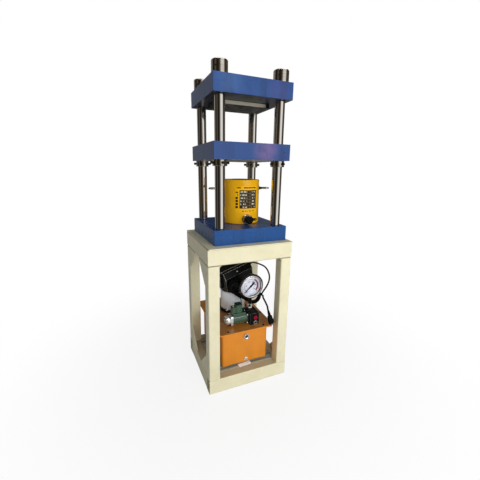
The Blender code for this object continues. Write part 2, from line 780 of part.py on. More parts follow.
def build_columns(head):
    """Columns with the collars clamped on them that the platen rests on."""
    radius = COLUMN_DIAMETER / 2
    spigot = SPIGOT_DIAMETER / 2
    tip = spigot - SPIGOT_CHAMFER
    foot = COLUMN_BOTTOM - BASE_PLATE_THICKNESS + SPIGOT_CHAMFER
    crown = TOP_PLATE_TOP + SEAT_GAP + NUT_HEIGHT - NUT_RECESS
    shoulder = COLUMN_BOTTOM + COLUMN_LENGTH
    collar = COLLAR_DIAMETER / 2
    high = PLATEN_BOTTOM - SEAT_GAP
    low = high - COLLAR_HEIGHT
    edge = SHOULDER_CHAMFER
    profile = [
        (0, foot),
        (tip, foot),
        (spigot, foot + SPIGOT_CHAMFER),
        (spigot, COLUMN_BOTTOM),
        (radius - edge, COLUMN_BOTTOM),
        (radius, COLUMN_BOTTOM + edge),
        (radius, low),
        (collar - edge, low),
        (collar, low + edge),
        (collar, high - edge),
        (collar - edge, high),
        (radius, high),
        (radius, shoulder - edge),
        (radius - edge, shoulder),
        (spigot, shoulder),
        (spigot, crown - SPIGOT_CHAMFER),
        (tip, crown),
        (0, crown),
    ]
    screw_head = COLLAR_SCREW_HEAD_DIAMETER / 2
    top = collar + COLLAR_SCREW_HEAD_HEIGHT
    screw = [
        (0, radius),
        (screw_head, radius),
        (screw_head, top),
        (0, top),
    ]
    for (x, y), corner in zip(column_places(), CORNERS):
        column = piece(f"column_{corner_name(corner)}", head, STEEL, turned(profile, ROUND_SIDES), smooth=True)
        column.location = (x, y, 0)
        heads = []
        for index in range(COLLAR_SCREWS):
            turn = (0, 90, COLLAR_TURNS[corner] + 360 * index / COLLAR_SCREWS)
            heads.append(placed(turned(screw, SCREW_SIDES), z=(low + high) / 2, turn=turn))
        join(column, gathered(heads))


def build_nuts(head):
    inner = SPIGOT_DIAMETER / 2 + SEAT_GAP
    outer = NUT_DIAMETER / 2
    low = TOP_PLATE_TOP + SEAT_GAP
    high = low + NUT_HEIGHT
    profile = [
        (inner, low),
        (outer, low),
        (outer, high - NUT_CHAMFER),
        (outer - NUT_CHAMFER, high),
        (inner + NUT_CHAMFER, high),
        (inner, high - NUT_CHAMFER),
    ]
    for (x, y), corner in zip(column_places(), CORNERS):
        nut = piece(f"column_nut_{corner_name(corner)}", head, STEEL, turned(profile, ROUND_SIDES), smooth=True)
        nut.location = (x, y, 0)
        holes = []
        for index in range(TOMMY_HOLES):
            turn = (0, 90, 360 * index / TOMMY_HOLES + TOMMY_TURN)
            depth = outer - TOMMY_HOLE_DEPTH
            hole = cylinder(TOMMY_HOLE_DIAMETER, depth, outer + CUT_OVERRUN, SCREW_SIDES)
            holes.append(placed(hole, z=(low + high) / 2, turn=turn))
        cut(nut, gathered(holes))


def build_tooling(head):
    high = TOP_PLATE_BOTTOM - SEAT_GAP
    low = high - TOOLING_THICKNESS
    front = TOOLING_Y - TOOLING_DEPTH / 2
    back = TOOLING_Y + TOOLING_DEPTH / 2
    half = TOOLING_WIDTH / 2
    plate = block((-half, front, low), (half, back, high), TOOLING_CHAMFER)
    piece("tooling_plate", head, RAW, plate)
    for name, side in (("left", -1), ("right", 1)):
        near = half + SEAT_GAP
        ends = sorted((side * near, side * (near + TOOLING_RAIL)))
        low = (ends[0], front, high - TOOLING_RAIL)
        rail = block(low, (ends[1], back, high), TOOLING_CHAMFER)
        piece(f"tooling_rail_{name}", head, BLACK_OXIDE, rail)


# Jack

def build_jack(head):
    jack = empty("jack", head, JACK_X, JACK_Y, BASE_PLATE_THICKNESS + SEAT_GAP, (0, 0, JACK_TURN))
    outer = JACK_DIAMETER / 2
    bore = JACK_BORE / 2
    ring = STOP_RING_DIAMETER / 2
    ring_top = JACK_HEIGHT - STOP_RING_RECESS
    ring_low = ring_top - STOP_RING_HEIGHT
    profile = [
        (0, 0),
        (outer - JACK_CHAMFER, 0),
        (outer, JACK_CHAMFER),
        (outer, JACK_HEIGHT - JACK_CHAMFER),
        (outer - JACK_CHAMFER, JACK_HEIGHT),
        (ring + SEAT_GAP, JACK_HEIGHT),
        (ring + SEAT_GAP, ring_low - SEAT_GAP),
        (bore, ring_low - SEAT_GAP),
        (bore, JACK_BOTTOM),
        (0, JACK_BOTTOM),
    ]
    body = piece("jack_body", jack, YELLOW, turned(profile, LARGE_SIDES), smooth=True)
    port = COUPLER_SPIGOT_DIAMETER + 2 * SEAT_GAP
    start = outer - COUPLER_SPIGOT_LENGTH - SEAT_GAP
    ports = [port_cutter(port, start, outer + CUT_OVERRUN, 90, COUPLER_HEIGHT, ROUND_SIDES)]
    thread = EYE_SHANK_DIAMETER + 2 * SEAT_GAP
    for angle in (0, 180):
        start = outer - THREAD_ENGAGEMENT - SEAT_GAP
        ports.append(port_cutter(thread, start, outer + CUT_OVERRUN, angle, EYE_HEIGHT, SMALL_SIDES))
    cut(body, gathered(ports))

    ram = RAM_DIAMETER / 2
    lip = SEAL_WIDTH
    profile = [
        (ram + SLIDE_GAP, ring_low),
        (ring, ring_low),
        (ring, ring_top),
        (ram + SLIDE_GAP + lip, ring_top),
        (ram + SLIDE_GAP + lip / 2, ring_top - SEAL_DEPTH),
        (ram + SLIDE_GAP, ring_top - SEAL_DEPTH),
    ]
    piece("jack_stop_ring", jack, BLACK_OXIDE, turned(profile, LARGE_SIDES), smooth=True)

    low = JACK_BOTTOM + SEAT_GAP
    crown = JACK_HEIGHT + SADDLE_RISE
    rim = crown - SADDLE_HEIGHT / 3
    seat = crown - SADDLE_HEIGHT
    piston = bore - SLIDE_GAP
    saddle = SADDLE_DIAMETER / 2
    profile = [
        (0, low),
        (piston, low),
        (piston, low + PISTON_HEIGHT),
        (ram, low + PISTON_HEIGHT),
        (ram, rim - PLATE_CHAMFER),
        (ram - PLATE_CHAMFER, rim),
        (saddle + SEAT_GAP, rim),
        (saddle + SEAT_GAP, seat - SEAT_GAP),
        (0, seat - SEAT_GAP),
    ]
    piece("jack_ram", jack, STEEL, turned(profile, LARGE_SIDES), smooth=True)
    groove = SADDLE_GROOVE
    profile = [(0, seat), (saddle, seat), (saddle, crown - groove), (saddle - groove, crown)]
    for share in SADDLE_RING_SHARES:
        middle = saddle * share
        profile += [(middle + groove, crown), (middle, crown - groove), (middle - groove, crown)]
    profile.append((0, crown))
    piece("jack_saddle", jack, BLACK_OXIDE, turned(profile, ROUND_SIDES), smooth=True)
    build_coupler(jack, outer)
    build_eye("lifting_eye_right", jack, outer, RIGHT_EYE_SHANK, 0)
    build_eye("lifting_eye_left", jack, outer, LEFT_EYE_SHANK, 180)


def port_cutter(diameter, start, end, angle, height, sides):
    """Round cutter that points out of the jack; angle 90 is its front."""
    hole = placed(cylinder(diameter, start, end, sides), turn=(0, 90, -angle))
    return placed(hole, z=height)


def build_coupler(jack, outer):
    coupler = empty("coupler", jack, 0, -outer, COUPLER_HEIGHT, (90, 0, 0))
    spigot = COUPLER_SPIGOT_DIAMETER / 2
    sleeve = COUPLER_SLEEVE_DIAMETER / 2
    nose = COUPLER_NOSE_DIAMETER / 2
    start = COUPLER_SEAT
    shoulder = start + COUPLER_SLEEVE_LENGTH
    tip = shoulder + COUPLER_NOSE_LENGTH
    edge = SPIGOT_CHAMFER
    profile = [
        (0, -COUPLER_SPIGOT_LENGTH),
        (spigot, -COUPLER_SPIGOT_LENGTH),
        (spigot, start),
        (sleeve - edge, start),
        (sleeve, start + edge),
        (sleeve, shoulder - edge),
        (sleeve - edge, shoulder),
        (nose, shoulder),
        (nose, tip),
        (0, tip),
    ]
    piece("jack_coupler", coupler, STEEL, turned(profile, ROUND_SIDES), smooth=True)

    outer = DUST_CAP_DIAMETER / 2
    inner = nose + SEAT_GAP
    low = shoulder + SEAT_GAP
    floor = tip + SEAT_GAP
    high = floor + DUST_CAP_END
    edge = DUST_CAP_END / 2
    profile = [
        (inner, low),
        (outer, low),
        (outer, high - edge),
        (outer - edge, high),
        (0, high),
        (0, floor),
        (inner, floor),
    ]
    cap = piece("dust_cap", coupler, RUBBER, turned(profile[4:] + profile[:4], ROUND_SIDES), smooth=True)
    reach = DUST_CAP_TAB_LENGTH - DUST_CAP_TAB_WIDTH / 2
    tab = stadium(reach * 2, DUST_CAP_TAB_WIDTH / 2, CORNER_STEPS * 2)
    tab = [(max(x, 0), y) for x, y in tab]
    tab = [point for index, point in enumerate(tab) if point[0] or point not in tab[:index]]
    tab = placed(prism(tab, low, low + DUST_CAP_TAB_THICKNESS), x=outer - DUST_CAP_END / 2)
    join(cap, tab)
    hole = cylinder(DUST_CAP_TAB_HOLE, low - CUT_OVERRUN, high, SCREW_SIDES)
    cut(cap, placed(hole, x=outer + reach))


def build_eye(name, jack, outer, shank, angle):
    """Screwed shank along X with a cone shaped lock nut, ending in a flat lying ring."""
    holder = empty(f"{name}_axis", jack, 0, 0, EYE_HEIGHT, (0, 0, angle))
    bar = EYE_BAR / 2
    thread = EYE_SHANK_DIAMETER / 2
    nut = EYE_NUT_DIAMETER / 2
    neck = outer + shank
    profile = [
        (0, outer - THREAD_ENGAGEMENT),
        (thread, outer - THREAD_ENGAGEMENT),
        (thread, outer + SEAT_GAP),
        (nut, outer + SEAT_GAP),
        (nut, outer + SEAT_GAP + EYE_NUT_HEIGHT / 3),
        (EYE_NUT_TIP_DIAMETER / 2, outer + SEAT_GAP + EYE_NUT_HEIGHT),
        (thread, outer + SEAT_GAP + EYE_NUT_HEIGHT),
        (bar, neck + bar),
        (0, neck + bar),
    ]
    shape = placed(turned(profile, SMALL_SIDES), turn=(0, 90, 0))
    eye = piece(name, holder, YELLOW, shape, smooth=True)
    middle = EYE_RING_DIAMETER / 2 - bar
    section = arc(middle, 0, bar, 0, 360, CORNER_STEPS * 2)[:-1]
    ring = turned(section, SMALL_SIDES + CORNER_STEPS * 2)
    join(eye, placed(ring, x=neck + EYE_RING_DIAMETER / 2))
    return eye


# Tank

def build_tank(root):
    tank = empty("tank", root, TANK_X, TANK_Y, TANK_BOTTOM)
    flange_x = LID_X - TANK_X
    flange_y = LID_Y - TANK_Y
    flange_low = TANK_HEIGHT - TANK_FLANGE_THICKNESS
    lip = rounded_rectangle(
        LID_WIDTH - 2 * TANK_FLANGE_INSET, LID_DEPTH - 2 * TANK_FLANGE_INSET, LID_CORNER - TANK_FLANGE_INSET,
    )
    lip = [(x + flange_x, y + flange_y) for x, y in lip]
    outer = rounded_rectangle(TANK_WIDTH, TANK_DEPTH, TANK_CORNER)
    inner = rounded_rectangle(TANK_WIDTH - 2 * TANK_WALL, TANK_DEPTH - 2 * TANK_WALL, TANK_CORNER - TANK_WALL)
    shell = stacked([
        (outer, 0),
        (outer, flange_low),
        (lip, flange_low),
        (lip, TANK_HEIGHT),
        (inner, TANK_HEIGHT),
        (inner, TANK_WALL),
    ])
    shell = piece("tank_body", tank, ORANGE, shell, smooth=True)
    feet = []
    foot = TANK_FOOT_SIDE / 2
    for side_x, side_y in CORNERS:
        x = side_x * (TANK_WIDTH / 2 - TANK_FOOT_INSET - foot)
        y = side_y * (TANK_DEPTH / 2 - TANK_FOOT_INSET - foot)
        feet.append(block((x - foot, y - foot, -TANK_FOOT_HEIGHT), (x + foot, y + foot, TANK_WALL / 2)))
    join(shell, gathered(feet))
    cutters = []
    for height in (SIGHT_HEIGHT, DRAIN_HEIGHT):
        bore = FITTING_SPIGOT_DIAMETER + 2 * SEAT_GAP
        drill = cylinder(bore, -TANK_WALL - CUT_OVERRUN, CUT_OVERRUN, ROUND_SIDES)
        cutters.append(placed(drill, FITTING_X, -TANK_DEPTH / 2, height, (90, 0, 0)))
    cut(shell, gathered(cutters))

    fittings = empty("tank_fittings", tank, FITTING_X, -TANK_DEPTH / 2, 0, (90, 0, 0))
    spigot = FITTING_SPIGOT_DIAMETER / 2
    rim = SIGHT_DIAMETER / 2
    window = SIGHT_WINDOW_DIAMETER / 2
    edge = SIGHT_THICKNESS / 3
    profile = [
        (0, -FITTING_SPIGOT_LENGTH),
        (spigot, -FITTING_SPIGOT_LENGTH),
        (spigot, SEAT_GAP),
        (rim, SEAT_GAP),
        (rim, SIGHT_THICKNESS - edge),
        (rim - edge, SIGHT_THICKNESS),
        (window, SIGHT_THICKNESS),
        (window, SIGHT_THICKNESS - edge),
        (0, SIGHT_THICKNESS - edge),
    ]
    piece("sight_glass", fittings, STEEL, placed(turned(profile, ROUND_SIDES), y=SIGHT_HEIGHT), smooth=True)
    rim = DRAIN_DIAMETER / 2
    sections = [
        (circle(FITTING_SPIGOT_DIAMETER, ROUND_SIDES), -FITTING_SPIGOT_LENGTH),
        (circle(FITTING_SPIGOT_DIAMETER, ROUND_SIDES), SEAT_GAP),
        (circle(DRAIN_DIAMETER, ROUND_SIDES), SEAT_GAP),
        (circle(DRAIN_DIAMETER, ROUND_SIDES), DRAIN_THICKNESS / 4),
        (hexagon(rim * math.sqrt(3), ROUND_SIDES), DRAIN_THICKNESS / 4),
        (hexagon(rim * math.sqrt(3), ROUND_SIDES), DRAIN_THICKNESS),
    ]
    piece("drain_plug", fittings, BLACK_OXIDE, placed(stacked(sections), y=DRAIN_HEIGHT))

    lid = empty("lid", root, LID_X, LID_Y, LID_BOTTOM)
    outline = rounded_rectangle(LID_WIDTH, LID_DEPTH, LID_CORNER)
    piece("tank_lid", lid, ORANGE, prism(outline, 0, LID_THICKNESS), smooth=True)


# Motor and control box

def build_motor(deck):
    motor = empty("motor", deck, MOTOR_X, MOTOR_Y, SEAT_GAP)
    foot = MOTOR_FLANGE_DIAMETER / 2
    edge = PLATE_CHAMFER
    profile = [
        (0, 0),
        (foot, 0),
        (foot, MOTOR_FLANGE_HEIGHT - edge),
        (foot - edge, MOTOR_FLANGE_HEIGHT),
        (0, MOTOR_FLANGE_HEIGHT),
    ]
    piece("motor_flange", motor, BLACK, turned(profile, LARGE_SIDES), smooth=True)
    low = MOTOR_FLANGE_HEIGHT + SEAT_GAP
    high = low + MOTOR_HEIGHT
    radius = MOTOR_DIAMETER / 2
    profile = [
        (0, low),
        (radius, low),
        (radius, high - MOTOR_RIM_HEIGHT),
        (radius + MOTOR_RIM, high - MOTOR_RIM_HEIGHT + MOTOR_RIM),
        (radius + MOTOR_RIM, high - MOTOR_RIM),
        (radius, high),
        (0, high),
    ]
    piece("motor_body", motor, SILVER, turned(profile, LARGE_SIDES), smooth=True)
    low = high + SEAT_GAP
    high = low + BELL_HEIGHT
    radius = BELL_DIAMETER / 2
    profile = [(0, low), (radius, low), (radius, high - BELL_CHAMFER), (radius - BELL_CHAMFER, high), (0, high)]
    return piece("motor_end_bell", motor, BLACK, turned(profile, ROUND_SIDES), smooth=True)


def box_matrix():
    """The control box's frame, seen from the stand; its origin is the left end of its front crease."""
    matrix = Matrix.Translation((BOX_X, BOX_Y, BOX_Z))
    for angle, axis in zip(reversed(BOX_TURN), "ZYX"):
        matrix = matrix @ Matrix.Rotation(math.radians(angle), 4, axis)
    return matrix


def build_control_box(root, bell):
    box = empty("control_box", root, BOX_X, BOX_Y, BOX_Z, BOX_TURN)
    cover_back = BOX_COVER_DEPTH - SEAT_GAP
    outline = [
        (-BOX_FRONT_LEAN, -BOX_DROP),
        (0, 0),
        (BOX_FACET_DEPTH, BOX_FACET_RISE),
        (cover_back, BOX_FACET_RISE),
        (cover_back, -BOX_DROP),
    ]
    cover = prism(outline, 0, BOX_WIDTH, "X")
    front = [edge for edge in cover.edges if min(vert.co.y for vert in edge.verts) < cover_back - BOX_EDGE]
    bmesh.ops.bevel(cover, geom=front, offset=BOX_EDGE, segments=2, affect="EDGES")
    piece("control_box_cover", box, BLACK, cover, smooth=True)
    low = (-BOX_FLANGE, BOX_COVER_DEPTH, -BOX_DROP)
    high = (BOX_WIDTH + BOX_FLANGE, BOX_COVER_DEPTH + BOX_BASE_DEPTH, BOX_FACET_RISE)
    piece("control_box_base", box, BLACK, block(low, high, BOX_EDGE))

    margin = MOTOR_DIAMETER
    low = (-margin, -margin, -BOX_DROP - SEAT_GAP)
    high = (BOX_WIDTH + margin, BOX_COVER_DEPTH + BOX_BASE_DEPTH + margin, MOTOR_DIAMETER + BELL_HEIGHT)
    shape = block(low, high)
    shape.transform(box_matrix())
    shape.transform(Matrix.Translation((-MOTOR_X, -MOTOR_Y, -LID_TOP - SEAT_GAP)))
    cut(bell, shape)

    nut = GLAND_NUT_DIAMETER / 2
    dome = GLAND_DOME_DIAMETER / 2
    face = GLAND_NUT_HEIGHT + GLAND_DOME_HEIGHT
    profile = [
        (0, 0),
        (nut, 0),
        (nut, GLAND_NUT_HEIGHT),
        (dome, GLAND_NUT_HEIGHT),
        (dome, face - GLAND_DOME_HEIGHT / 3),
        (CORD_DIAMETER / 2, face),
        (0, face),
    ]
    gland = placed(turned(profile, SMALL_SIDES), turn=(0, 90, 0))
    x, y, z = gland_place()
    piece("cable_gland", box, BLACK, placed(gland, x, y, z), smooth=True)


def gland_place():
    """Seat of the gland on the control box's right end, in the box's frame."""
    return BOX_WIDTH + BOX_FLANGE + SEAT_GAP, BOX_COVER_DEPTH + GLAND_Y, -GLAND_DROP


# Manifold, solenoid and gauge

def build_manifold(deck):
    manifold = empty("manifold", deck, MANIFOLD_X, MANIFOLD_Y, SEAT_GAP)
    half_x = MANIFOLD_WIDTH / 2
    half_y = MANIFOLD_DEPTH / 2
    shape = block((-half_x, -half_y, 0), (half_x, half_y, MANIFOLD_HEIGHT), MANIFOLD_CHAMFER)
    body = piece("manifold_block", manifold, BLACK, shape)
    bore = PORT_SPIGOT_DIAMETER + 2 * SEAT_GAP
    deep = PORT_SPIGOT_LENGTH + SEAT_GAP
    cutters = []
    for x, height in ((RED_PLUG_X, RED_PLUG_HEIGHT), (PORT_X, PORT_HEIGHT)):
        cutter = cylinder(bore, -deep, CUT_OVERRUN, ROUND_SIDES)
        cutters.append(placed(cutter, x, -half_y, height, (90, 0, 0)))
    stem = STEM_SPIGOT_DIAMETER + 2 * SEAT_GAP
    cutters.append(placed(cylinder(stem, -deep, CUT_OVERRUN), GAUGE_X, GAUGE_STEM_Y, MANIFOLD_HEIGHT))
    cut(body, gathered(cutters))

    ports = empty("ports", manifold, 0, -half_y, 0, (90, 0, 0))
    spigot = PORT_SPIGOT_DIAMETER / 2
    radius = RED_PLUG_DIAMETER / 2
    edge = RED_PLUG_THICKNESS / 3
    profile = [
        (0, -PORT_SPIGOT_LENGTH),
        (spigot, -PORT_SPIGOT_LENGTH),
        (spigot, SEAT_GAP),
        (radius, SEAT_GAP),
        (radius, RED_PLUG_THICKNESS - edge),
        (radius - edge, RED_PLUG_THICKNESS),
        (0, RED_PLUG_THICKNESS),
    ]
    plug = placed(turned(profile, ROUND_SIDES), RED_PLUG_X, RED_PLUG_HEIGHT)
    piece("red_port_plug", ports, RED, plug, smooth=True)
    radius = PORT_DIAMETER / 2
    bore = PORT_BORE / 2
    profile = [
        (0, -PORT_SPIGOT_LENGTH),
        (spigot, -PORT_SPIGOT_LENGTH),
        (spigot, SEAT_GAP),
        (radius, SEAT_GAP),
        (radius, PORT_THICKNESS - edge),
        (radius - edge, PORT_THICKNESS),
        (bore, PORT_THICKNESS),
        (bore, -PORT_SPIGOT_LENGTH / 2),
        (0, -PORT_SPIGOT_LENGTH / 2),
    ]
    port = placed(turned(profile, ROUND_SIDES), PORT_X, PORT_HEIGHT)
    piece("port_fitting", ports, STEEL, port, smooth=True)
    build_solenoid(manifold, half_x)
    build_gauge(manifold)


def ribbed_outline():
    """Round outline with ribs along the coil."""
    points = []
    radius = COIL_DIAMETER / 2
    for rib in range(COIL_RIBS):
        for share, lift in zip(COIL_RIB_SHARES, (0, COIL_RIB_HEIGHT, COIL_RIB_HEIGHT, 0)):
            angle = math.tau * (rib + share) / COIL_RIBS
            reach = radius - COIL_RIB_HEIGHT + lift
            points.append((reach * math.cos(angle), reach * math.sin(angle)))
    return points


def build_solenoid(manifold, half_x):
    valve = empty("solenoid", manifold, -half_x, 0, SOLENOID_HEIGHT, (0, -90, 0))
    low = SEAT_GAP
    high = low + SOLENOID_FLANGE_THICKNESS
    outline = rounded_rectangle(SOLENOID_FLANGE_SIDE, SOLENOID_FLANGE_SIDE, SOLENOID_FLANGE_CORNER)
    piece("solenoid_flange", valve, BLACK, prism(outline, low, high), smooth=True)

    low = high + SEAT_GAP
    coil_end = low + COIL_LENGTH
    coil = piece("solenoid_coil", valve, GREEN, prism(ribbed_outline(), low, coil_end))
    radius = COIL_DIAMETER / 2
    deck = radius + SADDLE_BLOCK_HEIGHT
    half = SADDLE_BLOCK_WIDTH / 2
    start = low + SADDLE_BLOCK_START
    bed = block((radius / 2, -half, start), (deck, half, start + SADDLE_BLOCK_LENGTH), COIL_RIB_HEIGHT)
    join(coil, bed)

    start = TERMINAL_START
    end = start + TERMINAL_LENGTH
    floor = deck + SEAT_GAP
    half = TERMINAL_WIDTH / 2
    terminal = block((floor, -half, start), (floor + TERMINAL_HEIGHT, half, end), TERMINAL_EDGE)
    terminal = piece("terminal_box", valve, GREEN, terminal)
    half = TERMINAL_STEP_WIDTH / 2
    low_corner = (floor, -half, end - TERMINAL_EDGE * 2)
    high_corner = (floor + TERMINAL_STEP_HEIGHT, half, end + TERMINAL_STEP_LENGTH)
    join(terminal, block(low_corner, high_corner, TERMINAL_EDGE / 2))

    low = coil_end + SEAT_GAP
    high = low + END_PLATE_THICKNESS
    outline = rounded_rectangle(END_PLATE_SIDE, END_PLATE_SIDE, END_PLATE_CORNER)
    end_plate = piece("solenoid_end_plate", valve, SILVER, prism(outline, low, high), smooth=True)
    boss = END_BOSS_DIAMETER / 2
    tip = high + END_BOSS_LENGTH
    profile = [
        (0, (low + high) / 2),
        (boss, (low + high) / 2),
        (boss, tip - END_BOSS_CHAMFER),
        (boss - END_BOSS_CHAMFER, tip),
        (0, tip),
    ]
    join(end_plate, turned(profile, SMALL_SIDES + CORNER_STEPS * 2))


def gauge_back():
    """Y of the gauge's back face, seen from the manifold's middle."""
    return GAUGE_STEM_Y + GAUGE_STEM_DEPTH


def build_gauge(manifold):
    seal_high = MANIFOLD_HEIGHT + SEAT_GAP + GAUGE_SEAL_HEIGHT
    stem = empty("gauge_stem_axis", manifold, GAUGE_X, GAUGE_STEM_Y, 0)
    inner = STEM_SPIGOT_DIAMETER / 2 + SEAT_GAP
    outer = GAUGE_SEAL_DIAMETER / 2
    low = MANIFOLD_HEIGHT + SEAT_GAP
    profile = [(inner, low), (outer, low), (outer, seal_high), (inner, seal_high)]
    piece("gauge_seal", stem, WHITE, turned(profile, SMALL_SIDES + CORNER_STEPS * 2), smooth=True)
    centre = MANIFOLD_HEIGHT + GAUGE_RISE
    hex_low = seal_high + SEAT_GAP
    hex_high = hex_low + STEM_HEX_HEIGHT
    sides = SCREW_SIDES * 2
    top = centre - GAUGE_DIAMETER / 2 + STEM_REACH
    sections = [
        (circle(STEM_SPIGOT_DIAMETER, sides), MANIFOLD_HEIGHT - PORT_SPIGOT_LENGTH),
        (circle(STEM_SPIGOT_DIAMETER, sides), hex_low),
        (hexagon(STEM_HEX, sides), hex_low),
        (hexagon(STEM_HEX, sides), hex_high),
        (circle(STEM_DIAMETER, sides), hex_high),
        (circle(STEM_DIAMETER, sides), top),
    ]
    piece("gauge_stem", stem, STEEL, stacked(sections))

    gauge = empty("gauge", manifold, GAUGE_X, gauge_back(), centre, (90, 0, 0))
    radius = GAUGE_DIAMETER / 2
    flange = GAUGE_FLANGE_DIAMETER / 2
    glass = GAUGE_GLASS_DIAMETER / 2
    glass_low = GAUGE_DEPTH - GAUGE_GLASS_THICKNESS
    dial = GAUGE_DIAL_DIAMETER / 2
    dial_low = GAUGE_DEPTH - GAUGE_DIAL_DEPTH
    cavity = GAUGE_CAVITY_DIAMETER / 2
    post = GAUGE_POST_DIAMETER / 2
    post_top = dial_low - GAUGE_POST_GAP
    bearing = SPINDLE_DIAMETER / 2 + SLIDE_GAP
    edge = GAUGE_BACK_CHAMFER
    profile = [
        (0, 0),
        (radius - edge, 0),
        (radius, edge),
        (radius, GAUGE_DEPTH - GAUGE_FLANGE_DEPTH),
        (flange, GAUGE_DEPTH - GAUGE_FLANGE_DEPTH),
        (flange, GAUGE_DEPTH),
        (glass + SEAT_GAP, GAUGE_DEPTH),
        (glass + SEAT_GAP, glass_low - SEAT_GAP),
        (dial + SEAT_GAP, glass_low - SEAT_GAP),
        (dial + SEAT_GAP, dial_low - SEAT_GAP),
        (cavity, dial_low - SEAT_GAP),
        (cavity, GAUGE_BACK),
        (post, GAUGE_BACK),
        (post, post_top),
        (bearing, post_top),
        (bearing, post_top - SPINDLE_DEPTH - SEAT_GAP),
        (0, post_top - SPINDLE_DEPTH - SEAT_GAP),
    ]
    case = piece("gauge_case", gauge, BLACK, turned(profile, LARGE_SIDES), smooth=True)
    drill = cylinder(STEM_DIAMETER + 2 * SEAT_GAP, cavity - GAUGE_BACK, flange + CUT_OVERRUN, sides)
    cut(case, placed(drill, z=GAUGE_STEM_DEPTH, turn=(90, 0, 0)))

    hole = DIAL_HOLE_DIAMETER / 2
    high = dial_low + GAUGE_DIAL_THICKNESS
    profile = [(hole, dial_low), (dial, dial_low), (dial, high), (hole, high)]
    piece("gauge_dial", gauge, WHITE, turned(profile, LARGE_SIDES), smooth=True)
    glass_plate = cylinder(GAUGE_GLASS_DIAMETER, glass_low, GAUGE_DEPTH, LARGE_SIDES)
    piece("gauge_glass", gauge, GLASS, glass_plate, smooth=True)

    outer = GAUGE_BEZEL_DIAMETER / 2
    window = GAUGE_WINDOW_DIAMETER / 2
    low = GAUGE_DEPTH + SEAT_GAP
    high = low + GAUGE_BEZEL_HEIGHT
    edge = GAUGE_BEZEL_CHAMFER
    profile = [
        (window, low),
        (outer, low),
        (outer, high - edge),
        (outer - edge, high),
        (window + edge * 2, high),
        (window, low + edge / 2),
    ]
    piece("gauge_bezel", gauge, STEEL, turned(profile, LARGE_SIDES), smooth=True)

    low = dial_low + GAUGE_DIAL_THICKNESS + GAUGE_POST_GAP
    hub = POINTER_HUB_DIAMETER / 2
    spindle = SPINDLE_DIAMETER / 2
    crown = low + 2 * POINTER_THICKNESS
    profile = [
        (0, post_top - SPINDLE_DEPTH),
        (spindle, post_top - SPINDLE_DEPTH),
        (spindle, low),
        (hub, low),
        (hub, crown - POINTER_THICKNESS / 2),
        (hub - POINTER_THICKNESS / 2, crown),
        (0, crown),
    ]
    pointer = piece("gauge_pointer", gauge, BLACK, turned(profile, SMALL_SIDES), smooth=True, spin=POINTER_REST)
    outline = [
        (-POINTER_TAIL_WIDTH / 2, -POINTER_TAIL),
        (POINTER_TAIL_WIDTH / 2, -POINTER_TAIL),
        (POINTER_WIDTH / 2, 0),
        (POINTER_TIP_WIDTH / 2, POINTER_LENGTH),
        (-POINTER_TIP_WIDTH / 2, POINTER_LENGTH),
        (-POINTER_WIDTH / 2, 0),
    ]
    join(pointer, prism(outline, low + POINTER_THICKNESS / 4, low + POINTER_THICKNESS))


# Cords

def plug_matrix():
    """Frame of the plug, seen from the stand: its origin is where the boot meets the body, +Z up the cord."""
    matrix = Matrix.Translation(PLUG_PLACE)
    matrix = matrix @ Matrix.Rotation(math.radians(PLUG_LEAN[1]), 4, "Y")
    return matrix @ Matrix.Rotation(math.radians(PLUG_LEAN[0]), 4, "X")


def hank_matrix():
    """Frame of the hank, seen from the stand: it lies against the gauge's back."""
    y = MANIFOLD_Y + gauge_back() + SEAT_GAP + HANK_THICKNESS / 2
    return Matrix.Translation((HANK_X, y, HANK_Z)) @ Matrix.Rotation(math.radians(HANK_TILT), 4, "Y")


def hank_exit(angle):
    """A cord's end on the hank's lower round end, and the point a stub further out."""
    matrix = hank_matrix()
    ray = Vector((math.cos(math.radians(angle + HANK_TILT)), 0, math.sin(math.radians(angle + HANK_TILT))))
    middle = Vector((HANK_LENGTH / 2, 0, 0))
    face = middle + ray * (HANK_RADIUS + SEAT_GAP)
    return matrix @ face, matrix @ (face + ray * CORD_STUB)


def build_hank(root):
    inner = HANK_HOLLOW
    outer = HANK_RADIUS
    half = HANK_THICKNESS / 2
    soft = HANK_ROUND
    section = [
        (outer - soft, -half),
        (outer, soft - half),
        (outer, half - soft),
        (outer - soft, half),
        (inner + soft, half),
        (inner, half - soft),
        (inner, soft - half),
        (inner + soft, -half),
    ]
    rings = [[(x, y, z) for x, z in stadium(HANK_LENGTH, radius)] for radius, y in section]
    shape = skin(rings, True)
    shape.transform(hank_matrix())
    piece("cord_hank", root, RUBBER, shape, smooth=True)


